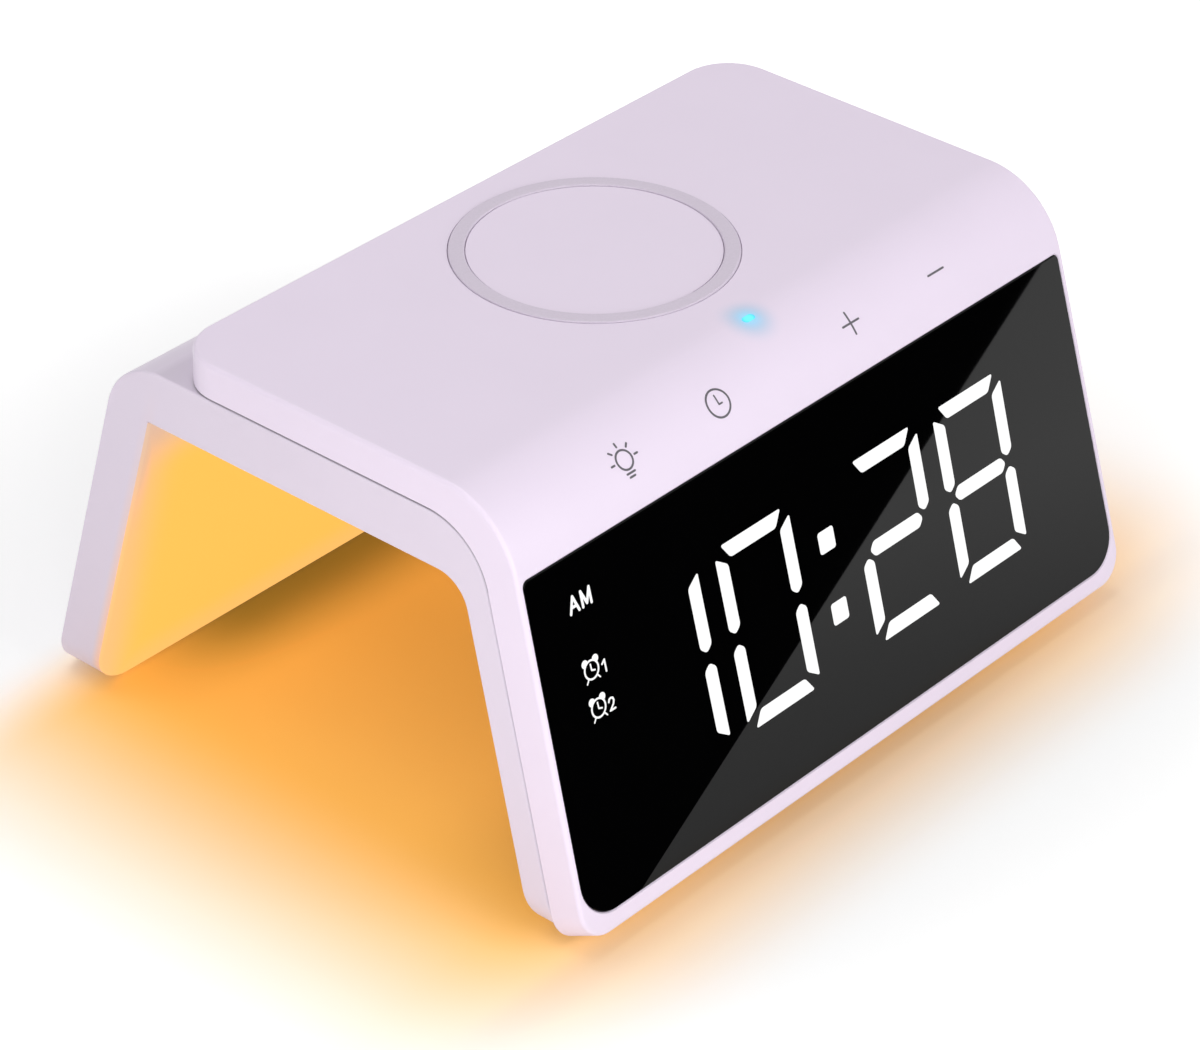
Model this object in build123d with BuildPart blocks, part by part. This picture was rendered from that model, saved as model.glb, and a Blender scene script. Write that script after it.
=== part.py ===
from build123d import *

import os
from math import cos, degrees, hypot, radians, sin, tan

# Alarm clock with a wireless charger on top: a cover bent over a bridge that stands on two leaning legs.
# Millimetres, +Z up, the display faces -Y, the origin is on the floor under the middle.

# Body
height = 81.6
top_depth = 64.53
lean = 15.0
length_floor = 152.8
end_draft = 2.0
leg_thickness = 13.2
top_thickness = 17.7
floor_gap = 0.5
foot_radius = 8.0
arch_radius = 7.0
arch_edge_radius = 0.4
base_radius = 14.0
base_edge_radius = 0.35
base_wall = 2.0

# Bent cover
cover_thickness = 7.5
cover_top_thickness = 7.0
toe_height = 3.91
rear_strip = 2.43
cover_corner_radius = 10.0
cover_foot_radius = 6.0
cover_edge_radius = 0.8
cover_wall = 2.4
bend_radius = 17.0
seam_gap = 0.3
tongue_width = 10.0
tongue_spread = 40.0
tongue_thickness = 1.2
tongue_reach = 3.0
fit_gap = 0.15

# Display window and what lies behind it
window_thickness = 1.3
tape_thickness = 0.1
tape_width = 4.0
window_gap = 0.12
window_bevel = 0.25
window_side_border = 1.3
window_foot_border = 3.3
window_top_border = 0.63
window_top_radius = 1.3
window_foot_radius = 7.0
ledge_width = 6.0
mask_thickness = 4.2
board_thickness = 1.6
board_margin = 1.3
board_post_inset = 4.0
board_post_diameter = 4.4
board_screw_head = 3.0
board_screw_head_height = 1.1
board_screw_shank = 1.6
board_screw_length = 4.0
chip_sizes = ((-30.0, 10.0, 10.0), (-6.0, 7.0, 5.0), (24.0, 12.0, 7.0), (44.0, 5.0, 5.0))
chip_height = 1.2

# Digits
digit_width = 19.75
digit_height = 35.1
digit_pitch = 24.4
colon_pitch = 35.75
digits_centre = -1.05
bar_width = 2.95
mitre_outer = 1.9
mitre_inner = 3.85
waist_gap = 1.0
waist_shoulder = 1.15
middle_tip = 2.4
bar_depth = 1.5
bar_gap = 0.1
colon_size = 4.2
colon_rise = 6.9

# Touch keys and charge indicator on the bend
key_places = (-42.8, -18.6, 17.2, 41.3)
key_arc = 8.4
key_width = 14.0
key_arc_length = 10.0
skin_gap = 0.05
electrode_thickness = 0.2
flex_thickness = 0.3
flex_arcs = (2.0, 21.0)
lamp_arc = 18.9
lamp_width = 2.8
lamp_height = 1.4
lamp_length = 1.7
lamp_led_width = 1.6
lamp_led_depth = 0.8
lamp_led_height = 0.6

# Charger under the top
charger_margin = 6.35
coil_inner = 20.0
coil_thickness = 2.0
coil_gap = 0.1
ferrite_overlap = 1.5
ferrite_thickness = 0.8
tray_floor = 1.2
tray_rim = 1.2
tray_rim_height = 2.2
tray_leg_diameter = 4.0
tray_leg_inset = 6.85
tray_leg_count = 3
charge_board_length = 56.0
charge_board_margin = 7.2
standoff_height = 2.7
standoff_diameter = 5.0
standoff_inset = 4.0
charge_parts = ((-20.0, 2.0, 8.0, 8.0, 2.8), (20.0, 4.0, 7.0, 7.0, 1.0), (0.0, -14.0, 12.0, 6.0, 2.2),
                (12.0, 16.0, 5.0, 4.0, 1.6), (-12.0, 16.0, 5.0, 4.0, 1.6))
ring_margin = 0.15
ring_width = 3.0
ring_depth = 0.8
ring_proud = 0.3
lead_width = 8.0
lead_thickness = 0.8
lead_bend = 3.0
power_lead_x = 20.0
display_lead_x = -20.0
display_lead_lap = 16.0

# Backup cell with its coin-slot door, and the sounder, each between an end wall and the charging board
cell_diameter = 20.0
cell_thickness = 3.2
cell_gap = 0.3
door_radius = 11.9
door_gap = 0.08
door_recess = 0.2
door_grip_radius = 8.6
door_grip_depth = 0.6
lug_reach = 1.7
lug_thickness = 1.2
lug_rise = 0.1
lug_angle = 30.0
notch_angle = 36.0
door_turn = 40.0
coin_slot_length = 13.0
coin_slot_width = 1.8
coin_slot_depth = 0.9
holder_wall = 1.2
holder_gap = 0.4
contact_length = 14.0
contact_width = 4.0
contact_thickness = 0.4
speaker_radius = 11.5
speaker_rim_height = 1.8
speaker_magnet_radius = 7.5
speaker_height = 4.6
speaker_gasket = 0.5
speaker_gasket_width = 2.0
speaker_ring_wall = 1.2
speaker_ring_height = 3.0
slot_width = 1.4
slot_length = 13.0
slot_pitch = 3.2
slot_count = 5

# Night light in the rear leg
rear_housing = 9.9
diffuser_thickness = 0.7
diffuser_edge_radius = 0.6
diffuser_rim = 1.2
diffuser_rim_height = 1.6
reflector_low = 24.0
reflector_thickness = 0.8
reflector_lip = 3.0
light_board_height = 12.0
light_board_rise = 18.0
light_board_thickness = 1.0
light_board_end_gap = 2.4
led_size = 2.8
led_height = 0.8
led_pitch = 10.5
led_end_inset = 11.5

# Power inlet low in the back of the rear leg
inlet_v = 14.0
inlet_width = 8.94
inlet_height = 3.26
inlet_depth = 7.3
inlet_wall = 0.3
inlet_back = 0.6
inlet_recess = 0.3
inlet_flare = 0.6
inlet_tongue_width = 6.7
inlet_tongue_height = 0.7
inlet_tongue_depth = 5.0
inlet_board_width = 26.0
inlet_board_height = 11.0
inlet_board_thickness = 1.0
inlet_post_diameter = 3.6
inlet_post_spread = 9.5

# Screws and feet
screw_end_inset = 9.7
screw_front_inset = 12.0
screw_rear_inset = 10.0
screw_head = 5.6
screw_head_height = 2.2
screw_shank = 2.6
screw_length = 10.3
screw_gap = 0.1
screw_hole_gap = 0.3
screw_recess = 3.4
screw_slot_length = 3.6
screw_slot_width = 0.8
screw_slot_depth = 1.2
boss_diameter = 9.0
boss_height = 5.0
post_diameter = 7.0
pilot_margin = 0.4
pad_length = 24.0
pad_width = 4.8
pad_end_gap = 4.1
pad_corner_radius = 1.5
pad_inset = 1.0

# Worked out from the sizes above
near = 0.01
lean_sin = sin(radians(lean))
lean_cos = cos(radians(lean))
lean_tan = tan(radians(lean))
draft_tan = tan(radians(end_draft))
foot_v = toe_height / lean_cos
top_under = height - top_thickness
base_floor = top_under + base_wall
seam_z = height - cover_top_thickness
bend_low = height - bend_radius
base_corner = base_radius * tan(radians(90 - lean) / 2)
face_spread = (top_depth + rear_strip + base_corner + (seam_z + bend_low) * lean_tan
               + bend_radius / lean_cos) / 2
cover_rear = face_spread - seam_z * lean_tan - base_corner - rear_strip
cover_under = height - cover_wall
boss_top = base_floor + boss_height
window_seat = window_thickness + tape_thickness
window_low = foot_v + window_foot_border
window_top = (bend_low + bend_radius * lean_sin) / lean_cos - window_top_border
window_middle = (window_low + window_top) / 2
board_front = window_seat + mask_thickness
board_back = board_front + board_thickness
charge_board_z = base_floor + standoff_height
charge_board_top = charge_board_z + board_thickness
charger_y = cover_rear - top_depth / 2
charge_board_depth = top_depth - 2 * charge_board_margin
tray_radius = top_depth / 2 - charger_margin
ferrite_radius = tray_radius - tray_rim - fit_gap
coil_radius = ferrite_radius - ferrite_overlap
ring_radius = tray_radius + ring_margin
ferrite_top = cover_under - coil_gap - coil_thickness
tray_top = ferrite_top - ferrite_thickness
lug_radius = door_radius + lug_reach
lug_low = base_floor + lug_rise
door_top = lug_low + lug_thickness
cell_low = door_top + cell_gap
cell_top = cell_low + cell_thickness
tray_rear = cover_rear - 2 * base_wall

os.makedirs("parts", exist_ok=True)


def front(v, w):
    """Section point on the front leg: v up its outer face from the floor line, w out of that face."""
    return (-face_spread + v * lean_sin - w * lean_cos, v * lean_cos + w * lean_sin)


def rear(v, w):
    """The same on the rear leg."""
    y, z = front(v, w)
    return (-y, z)


def front_at(w, z):
    """Section point at height z on the line that lies w out of the front leg's face."""
    return front((z - w * lean_sin) / lean_cos, w)


def rear_at(w, z):
    """The same on the rear leg."""
    y, z = front_at(w, z)
    return (-y, z)


def leg_v(p):
    """How far up its leg a point lies."""
    return (face_spread - abs(p.Y)) * lean_sin + p.Z * lean_cos


def leg_w(p):
    """How far out of its leg's outer face a point lies."""
    return p.Z * lean_sin - (face_spread - abs(p.Y)) * lean_cos


def front_w(p):
    """How far out of the front leg's outer face a point lies."""
    return p.Z * lean_sin - (face_spread + p.Y) * lean_cos


def rear_w(p):
    """How far out of the rear leg's outer face a point lies."""
    return p.Z * lean_sin - (face_spread - p.Y) * lean_cos


def half_length(z, inset=0.0):
    """Half the body's length at height z, drawn in by inset."""
    return length_floor / 2 - z * draft_tan - inset


# Planes on the leg faces: local x along the body, local y up the leg, local z out of it.
front_plane = Plane(origin=(0, -face_spread, 0), x_dir=(1, 0, 0), z_dir=(0, -lean_cos, lean_sin))
rear_plane = Plane(origin=(0, face_spread, 0), x_dir=(-1, 0, 0), z_dir=(0, lean_cos, lean_sin))
bend_y, bend_z = front_at(-bend_radius, bend_low)


def bend_angle(arc):
    """Angle above the horizontal, in degrees, of a place on the bend, arc up from the front face."""
    return lean + degrees(arc / bend_radius)


def bend_plane(arc):
    """Plane touching the bend, with its z axis pointing out of it."""
    a = radians(bend_angle(arc))
    return Plane(origin=(0, bend_y - bend_radius * cos(a), bend_z + bend_radius * sin(a)),
                 x_dir=(1, 0, 0), z_dir=(0, -cos(a), sin(a)))


def bend_band(outer_radius, thickness, arcs):
    """Section of a thin band round the bend's centre."""
    start = 180 - bend_angle(arcs[1])
    sweep = bend_angle(arcs[1]) - bend_angle(arcs[0])
    with BuildSketch() as face:
        with BuildLine():
            outer = CenterArc((bend_y, bend_z), outer_radius, start, sweep)
            inner = CenterArc((bend_y, bend_z), outer_radius - thickness, start, sweep)
            Line(outer @ 0, inner @ 0)
            Line(outer @ 1, inner @ 1)
        make_face()
    return face.sketch


def at_end(edge):
    """Whether an edge lies at one of the body's two ends."""
    return abs((edge @ 0.5).X) > length_floor / 4


def on_foot(edge):
    """Whether an end's edge runs across a leg's foot."""
    return (edge @ 0.5).Z < height / 2 and abs(leg_w(edge @ 0) - leg_w(edge @ 1)) > near


def on_back(edge):
    """Whether an end's edge stands at the rear edge of the top."""
    return (edge @ 0.5).Z > height / 2 and (edge @ 0).Y > 0 and abs((edge @ 0).Y - (edge @ 1).Y) < near


def section(points, radii):
    """Face with rounded corners, one radius for each point."""
    with BuildSketch() as face:
        with BuildLine():
            FilletPolyline(*points, radius=radii, close=True)
        make_face()
    return face.sketch


def bridge_block(points, radii, inset, corner, back_corner=0.0):
    """A section along the body, between the drafted ends, with its free corners rounded."""
    low, high = half_length(0, inset), half_length(height, inset)
    with BuildPart() as block:
        with BuildSketch(Plane.YZ):
            add(section(points, radii))
        extrude(amount=length_floor / 2, both=True)
        with BuildSketch(Plane.XZ):
            with BuildLine():
                Polyline((-low, 0), (low, 0), (high, height), (-high, height), close=True)
            make_face()
        extrude(amount=face_spread, both=True, mode=Mode.INTERSECT)
        fillet(block.edges().filter_by(at_end).filter_by(on_foot), corner)
        if back_corner:
            fillet(block.edges().filter_by(at_end).filter_by(on_back), back_corner)
    return block.part


def end_edges(block):
    """Edges round the two end faces."""
    ends = block.faces().filter_by(lambda f: abs(f.normal_at().X) > lean_cos)
    return ends.edges().filter_by(lambda e: not on_foot(e) and not on_back(e))


def window_outline(inset):
    """Corners of the display window on the front leg's face, drawn in by inset."""
    low, high = window_low + inset, window_top - inset
    edge = window_side_border + inset
    wide, narrow = half_length(low * lean_cos, edge), half_length(high * lean_cos, edge)
    return [(-wide, low), (wide, low), (narrow, high), (-narrow, high)]


def window_face(inset):
    """Face of the display window, drawn in by inset."""
    low = max(window_foot_radius - inset, window_bevel)
    high = max(window_top_radius - inset, window_bevel)
    return section(window_outline(inset), [low, low, high, high])


def on_window_edge(edge):
    """Whether an edge of the cover borders the window's seat, at the front face."""
    p = edge @ 0.5
    inside = abs(p.X) < half_length(p.Z, window_side_border) + near
    return inside and abs(front_w(p)) < near and window_low - near < leg_v(p) < window_top + near


def digit_bars():
    """The seven bars of a digit, each a list of corners from the digit's lower left corner."""
    w, h, s = digit_width, digit_height, bar_width
    shoulder = h / 2 + waist_gap + waist_shoulder
    top = [(mitre_outer, h), (w - mitre_outer, h), (w - mitre_inner, h - s), (mitre_inner, h - s)]
    left = [(0, h - mitre_outer), (s, h - mitre_inner), (s, shoulder), (s / 2, h / 2 + waist_gap),
            (0, shoulder)]
    right = [(w - x, y) for x, y in left]
    tip = middle_tip + waist_shoulder
    middle = [(middle_tip, h / 2), (tip, (h + s) / 2), (w - tip, (h + s) / 2), (w - middle_tip, h / 2),
              (w - tip, (h - s) / 2), (tip, (h - s) / 2)]
    upper = [top, left, right]
    return upper + [middle] + [[(x, h - y) for x, y in bar] for bar in upper]


def digit_corners():
    """Lower left corners of the four digits on the front leg's face."""
    inner, outer = colon_pitch / 2, colon_pitch / 2 + digit_pitch
    middles = [digits_centre + x for x in (-outer, -inner, inner, outer)]
    return [(x - digit_width / 2, window_middle - digit_height / 2) for x in middles]


def bar_face(corners, growth):
    """Face of one light bar, made larger all round by growth."""
    with BuildSketch() as face:
        with BuildLine():
            Polyline(*corners, close=True)
        make_face()
        if growth:
            offset(amount=growth, kind=Kind.INTERSECTION)
    return face.sketch


def light_bars(growth):
    """Faces of all the light bars, each made larger all round by growth."""
    digits = [[(x + px, y + py) for px, py in bar] for x, y in digit_corners() for bar in digit_bars()]
    half = colon_size / 2
    square = [(-half, -half), (half, -half), (half, half), (-half, half)]
    dots = [[(digits_centre + x, window_middle + rise + y) for x, y in square]
            for rise in (-colon_rise, colon_rise)]
    return [bar_face(corners, growth) for corners in digits + dots]


def sectors(radius, angle, turn):
    """Faces of two opposite pie pieces about the sketch's origin, their middles at turn."""
    with BuildSketch() as faces:
        for middle in (turn, turn + 180):
            with BuildLine():
                arc = CenterArc((0, 0), radius, middle - angle / 2, angle)
                Line((0, 0), arc @ 0)
                Line(arc @ 1, (0, 0))
            make_face()
    return faces.sketch


def finish(piece, name):
    """Label a piece and write it."""
    piece.part.label = name
    export_step(piece.part, f"parts/{name}.step")


screw_x = half_length(height, screw_end_inset)
screw_rows = (bend_y + screw_front_inset, cover_rear - screw_rear_inset)
screw_places = [(x, y) for x in (-screw_x, screw_x) for y in screw_rows]
board_posts = window_outline(board_post_inset)
standoff_x = charge_board_length / 2 - standoff_inset
standoff_y = charge_board_depth / 2 - standoff_inset
standoffs = [(sx * standoff_x, charger_y + sy * standoff_y) for sx in (-1, 1) for sy in (-1, 1)]
inlet_posts = [(-inlet_post_spread, inlet_v), (inlet_post_spread, inlet_v)]
bay_x = (charge_board_length / 2 + half_length(base_floor, base_wall)) / 2
door_plane = Plane(origin=(-bay_x, charger_y, 0))
speaker_plane = Plane(origin=(bay_x, charger_y, 0))
charger_plane = Plane(origin=(0, charger_y, 0))

# The bridge: the arch, the inner half of the front leg and the rear leg, hollowed from above and below.
base_block = bridge_block(
    [front_at(-cover_thickness, floor_gap), front_at(-cover_thickness, seam_z), rear_at(0, seam_z),
     rear_at(0, floor_gap), rear_at(-rear_housing, floor_gap), rear_at(-rear_housing, top_under),
     front_at(-leg_thickness, top_under), front_at(-leg_thickness, floor_gap)],
    [0, base_radius, base_radius, 0, 0, 0, arch_radius, 0], 0, foot_radius)
tray_out = base_wall - cover_thickness
front_tray = bridge_block(
    [front(foot_v + base_wall, tray_out), front_at(tray_out, seam_z + base_wall),
     (tray_rear, seam_z + base_wall), (tray_rear, base_floor),
     front_at(base_wall - leg_thickness, base_floor), front(foot_v + base_wall, base_wall - leg_thickness)],
    [0, base_radius, 0, 0, arch_radius + base_wall, 0], base_wall, foot_radius - base_wall)
rear_tray = bridge_block(
    [rear(foot_v + base_wall, -base_wall), rear_at(-base_wall, seam_z - base_wall),
     (tray_rear - base_wall, seam_z - base_wall), (tray_rear - base_wall, base_floor),
     rear_at(base_wall - rear_housing, base_floor), rear_at(base_wall - rear_housing, top_under - base_wall),
     rear_at(-base_wall - rear_housing, top_under - base_wall),
     rear(foot_v + base_wall, -base_wall - rear_housing)],
    [0, base_radius - base_wall, 0, 0, 0, 0, 0, 0], base_wall, foot_radius - base_wall)


def in_arch(edge):
    """Whether an edge lies on the arch's inside, up to the rear leg."""
    p = edge @ 0.5
    return p.Z < top_under + near and front_w(p) < near - leg_thickness and rear_w(p) < -near - rear_housing


def on_rear_housing(edge):
    """Whether an edge lies on the rear leg's open inner face."""
    return abs(rear_w(edge @ 0.5) + rear_housing) < near


with BuildPart() as bridge_base:
    add(base_block)
    fillet(end_edges(bridge_base).filter_by(in_arch), arch_edge_radius)
    outer_edges = end_edges(bridge_base).filter_by(lambda e: not in_arch(e) and not on_rear_housing(e))
    fillet(outer_edges, base_edge_radius)
    add(front_tray, mode=Mode.SUBTRACT)
    add(rear_tray, mode=Mode.SUBTRACT)
    # Bosses for the cover's screws, open from below
    with BuildSketch(Plane.XY.offset(top_under)):
        with Locations(*screw_places):
            Circle(boss_diameter / 2)
    extrude(amount=boss_top - top_under)
    with BuildSketch(Plane.XY.offset(top_under)):
        with Locations(*screw_places):
            Circle(screw_head / 2 + screw_hole_gap)
    extrude(amount=screw_recess, mode=Mode.SUBTRACT)
    with BuildSketch(Plane.XY.offset(top_under)):
        with Locations(*screw_places):
            Circle(screw_shank / 2 + screw_hole_gap)
    extrude(amount=boss_top - top_under, mode=Mode.SUBTRACT)
    # Standoffs under the charging board
    with BuildSketch(Plane.XY.offset(base_floor)):
        with Locations(*standoffs):
            Circle(standoff_diameter / 2)
    extrude(amount=standoff_height)
    # Round opening for the cell's door, with notches that its lugs pass when it is turned open
    with BuildSketch(door_plane.offset(top_under)):
        Circle(door_radius + door_gap)
        add(sectors(lug_radius + door_gap, notch_angle, door_turn))
    extrude(amount=base_wall, mode=Mode.SUBTRACT)
    # Ring and sound slots for the sounder
    with BuildSketch(speaker_plane.offset(base_floor)):
        Circle(speaker_radius + fit_gap + speaker_ring_wall)
        Circle(speaker_radius + fit_gap, mode=Mode.SUBTRACT)
    extrude(amount=speaker_ring_height)
    with BuildSketch(speaker_plane.offset(top_under)):
        with GridLocations(slot_pitch, slot_pitch, slot_count, 1):
            SlotOverall(slot_length, slot_width, rotation=90)
    extrude(amount=base_wall, mode=Mode.SUBTRACT)
    # Power inlet's opening and the posts that carry its board
    with BuildSketch(rear_plane.offset(-base_wall)):
        with Locations(*inlet_posts):
            Circle(inlet_post_diameter / 2)
    extrude(amount=base_wall - inlet_depth)
    with BuildSketch(rear_plane):
        with Locations((0, inlet_v)):
            SlotOverall(inlet_width + 2 * fit_gap, inlet_height + 2 * fit_gap)
    extrude(amount=-base_wall, mode=Mode.SUBTRACT)
    with BuildSketch(rear_plane):
        with Locations((0, inlet_v)):
            SlotOverall(inlet_width + 2 * inlet_flare, inlet_height + 2 * inlet_flare)
    extrude(amount=-inlet_recess, mode=Mode.SUBTRACT)
    # Tongues at the front foot that reach behind the cover's lower edge
    tongue_low = foot_v + cover_wall + fit_gap
    tongue_top = tongue_low + tongue_thickness
    tongue_root = -cover_thickness - tongue_reach
    for x in (-tongue_spread, tongue_spread):
        with BuildSketch(Plane.YZ.offset(x)):
            with BuildLine():
                Polyline(front(foot_v + base_wall / 2, tongue_root), front(tongue_top, tongue_root),
                         front(tongue_top, tongue_reach - cover_thickness),
                         front(tongue_low, tongue_reach - cover_thickness),
                         front(tongue_low, -cover_thickness), front(foot_v + base_wall / 2, -cover_thickness),
                         close=True)
            make_face()
        extrude(amount=tongue_width / 2, both=True)
finish(bridge_base, "bridge_base")

# The cover: one plate bent over the front leg and the top, hollow towards the bridge.
cover_block = bridge_block(
    [front(foot_v, 0), front_at(0, height), (cover_rear, height), (cover_rear, seam_z + seam_gap),
     front_at(seam_gap - cover_thickness, seam_z + seam_gap),
     front_at(seam_gap - cover_thickness, floor_gap)],
    [0, bend_radius, 0, 0, base_radius + seam_gap, 0], 0, cover_foot_radius, cover_corner_radius)
cover_hollow = bridge_block(
    [front(foot_v + cover_wall, -cover_wall), front_at(-cover_wall, cover_under),
     (cover_rear - cover_wall, cover_under), (cover_rear - cover_wall, seam_z - cover_wall),
     front_at(-cover_wall - cover_thickness, seam_z - cover_wall),
     front(foot_v + cover_wall, -cover_wall - cover_thickness)],
    [0, bend_radius - cover_wall, 0, 0, base_radius, 0], cover_wall,
    cover_foot_radius - cover_wall, cover_corner_radius - cover_wall)


def on_skin(edge):
    """Whether an edge lies on the cover's outer skin."""
    p = edge @ 0.5
    on_bend = abs(hypot(p.Y - bend_y, p.Z - bend_z) - bend_radius) < near
    return on_bend or abs(front_w(p)) < near or abs(p.Z - height) < near


with BuildPart() as front_cover:
    add(cover_block)
    fillet(end_edges(front_cover).filter_by(on_skin), cover_edge_radius)
    add(cover_hollow, mode=Mode.SUBTRACT)
    # Seat for the window, with a thin bevelled lip, and the opening for the light bars behind it
    with BuildSketch(front_plane):
        add(window_face(0))
    extrude(amount=-window_seat, mode=Mode.SUBTRACT)
    chamfer(front_cover.edges().filter_by(on_window_edge), window_bevel)
    with BuildSketch(front_plane):
        add(window_face(ledge_width))
    extrude(amount=-cover_thickness, mode=Mode.SUBTRACT)
    # Posts for the display board
    with BuildSketch(front_plane.offset(-cover_wall)):
        with Locations(*board_posts):
            Circle(board_post_diameter / 2)
    extrude(amount=cover_wall - board_front)
    with BuildSketch(front_plane.offset(-board_front)):
        with Locations(*board_posts):
            Circle(board_screw_shank / 2 + screw_gap)
    extrude(amount=board_front - cover_wall, mode=Mode.SUBTRACT)
    # Posts for the screws that come up through the bridge
    with BuildSketch(Plane.XY.offset(boss_top)):
        with Locations(*screw_places):
            Circle(post_diameter / 2)
    extrude(amount=cover_under - boss_top)
    with BuildSketch(Plane.XY.offset(boss_top)):
        with Locations(*screw_places):
            Circle(screw_shank / 2 + screw_gap)
    extrude(amount=screw_recess + top_under + screw_length + pilot_margin - boss_top, mode=Mode.SUBTRACT)
    # Hole for the indicator, and the groove for the anti-slip ring
    with BuildSketch(bend_plane(lamp_arc)):
        SlotOverall(lamp_width + 2 * skin_gap, lamp_height + 2 * skin_gap)
    extrude(amount=-cover_wall - window_bevel, mode=Mode.SUBTRACT)
    with BuildSketch(charger_plane.offset(height)):
        Circle(ring_radius + fit_gap)
        Circle(ring_radius - ring_width - fit_gap, mode=Mode.SUBTRACT)
    extrude(amount=-ring_depth, mode=Mode.SUBTRACT)
finish(front_cover, "front_cover")

# Lit inner face of the rear leg, with a rim that plugs into the leg's opening.
diffuser_top = top_under - fit_gap
rear_thickness = rear_housing + diffuser_thickness
diffuser_block = bridge_block(
    [rear_at(0, floor_gap), rear_at(-rear_thickness, floor_gap),
     rear_at(-rear_thickness, diffuser_top), rear_at(0, diffuser_top)],
    [0, 0, 0, 0], 0, foot_radius)
rim_inset = base_wall + fit_gap
rim_low = foot_v + rim_inset
rim_high = top_under - rim_inset
rim_block = bridge_block(
    [rear(rim_low, -rear_housing), rear(rim_low, diffuser_rim_height - rear_housing),
     rear_at(diffuser_rim_height - rear_housing, rim_high), rear_at(-rear_housing, rim_high)],
    [0, 0, 0, 0], rim_inset, foot_radius - rim_inset)
rim_core = bridge_block(
    [rear(rim_low + diffuser_rim, -rear_housing), rear(rim_low + diffuser_rim, -base_wall),
     rear_at(-base_wall, rim_high - diffuser_rim), rear_at(-rear_housing, rim_high - diffuser_rim)],
    [0, 0, 0, 0], rim_inset + diffuser_rim, foot_radius - rim_inset - diffuser_rim)

with BuildPart() as diffuser:
    add(diffuser_block)
    split(bisect_by=rear_plane.offset(-rear_housing), keep=Keep.BOTTOM)
    lit = diffuser.faces().filter_by(lambda f: abs(rear_w(f.center()) + rear_thickness) < near)
    fillet(lit.edges().filter_by(lambda e: (e @ 0.5).Z < diffuser_top - near), diffuser_edge_radius)
    add(rim_block)
    add(rim_core, mode=Mode.SUBTRACT)
finish(diffuser, "night_light_diffuser")

# Display: pane, tape, mask with the light bars, board with its chips and screws.
with BuildPart() as window:
    with BuildSketch(front_plane):
        add(window_face(window_gap))
    extrude(amount=-window_thickness)
    chamfer(window.edges().filter_by(lambda e: abs(front_w(e @ 0.5)) < near), window_gap)
finish(window, "display_window")

with BuildPart() as tape:
    with BuildSketch(front_plane.offset(-window_thickness)):
        add(window_face(2 * window_gap))
        add(window_face(2 * window_gap + tape_width), mode=Mode.SUBTRACT)
    extrude(amount=-tape_thickness)
finish(tape, "window_tape")

with BuildPart() as mask:
    with BuildSketch(front_plane.offset(-window_seat)):
        add(window_face(ledge_width + fit_gap))
    extrude(amount=-mask_thickness)
    with BuildSketch(front_plane.offset(-window_seat)):
        add(light_bars(bar_gap))
    extrude(amount=-bar_depth, mode=Mode.SUBTRACT)
finish(mask, "display_mask")

with BuildPart() as bars:
    with BuildSketch(front_plane.offset(-window_seat)):
        add(light_bars(0))
    extrude(amount=-bar_depth)
finish(bars, "display_segments")

with BuildPart() as display_board:
    with BuildSketch(front_plane.offset(-board_front)):
        add(window_face(board_margin))
        with Locations(*board_posts):
            Circle(board_screw_shank / 2 + screw_gap, mode=Mode.SUBTRACT)
    extrude(amount=-board_thickness)
finish(display_board, "display_board")

with BuildPart() as chips:
    with BuildSketch(front_plane.offset(-board_back)):
        for x, wide, high in chip_sizes:
            with Locations((x, window_middle)):
                Rectangle(wide, high)
    extrude(amount=-chip_height)
finish(chips, "display_chips")

with BuildPart() as board_screws:
    with BuildSketch(front_plane.offset(-board_back)):
        with Locations(*board_posts):
            Circle(board_screw_head / 2)
    extrude(amount=-board_screw_head_height)
    with BuildSketch(front_plane.offset(-board_back)):
        with Locations(*board_posts):
            Circle(board_screw_shank / 2)
    extrude(amount=board_screw_length)
finish(board_screws, "board_screws")

# Touch keys: a curved foil pad behind each printed key, on one flexible strip, and the charge indicator.
electrode_radius = bend_radius - cover_wall - skin_gap
flex_radius = electrode_radius - electrode_thickness - skin_gap
key_arcs = (key_arc - key_arc_length / 2, key_arc + key_arc_length / 2)
with BuildPart() as electrodes:
    for x in key_places:
        with BuildSketch(Plane.YZ.offset(x)):
            add(bend_band(electrode_radius, electrode_thickness, key_arcs))
        extrude(amount=key_width / 2, both=True)
finish(electrodes, "touch_electrodes")

with BuildPart() as flex:
    with BuildSketch(Plane.YZ.offset(min(key_places) - key_width / 2)):
        add(bend_band(flex_radius, flex_thickness, flex_arcs))
    extrude(amount=max(key_places) - min(key_places) + key_width)
finish(flex, "touch_flex")

with BuildPart() as light_pipe:
    with BuildSketch(bend_plane(lamp_arc)):
        SlotOverall(lamp_width, lamp_height)
    extrude(amount=-lamp_length)
finish(light_pipe, "indicator_light_pipe")

with BuildPart() as lamp:
    with BuildSketch(bend_plane(lamp_arc).offset(flex_radius + skin_gap - bend_radius)):
        Rectangle(lamp_led_width, lamp_led_depth)
    extrude(amount=lamp_led_height)
finish(lamp, "indicator_led")

# Charger: ring on the face, then coil, ferrite, tray and board below it.
with BuildPart() as ring:
    with BuildSketch(charger_plane.offset(height - ring_depth)):
        Circle(ring_radius)
        Circle(ring_radius - ring_width, mode=Mode.SUBTRACT)
    extrude(amount=ring_depth + ring_proud)
    fillet(ring.faces().sort_by(Axis.Z)[-1].edges(), ring_proud)
finish(ring, "anti_slip_ring")

with BuildPart() as coil:
    with BuildSketch(charger_plane.offset(ferrite_top)):
        Circle(coil_radius)
        Circle(coil_inner / 2, mode=Mode.SUBTRACT)
    extrude(amount=coil_thickness)
finish(coil, "charging_coil")

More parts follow.
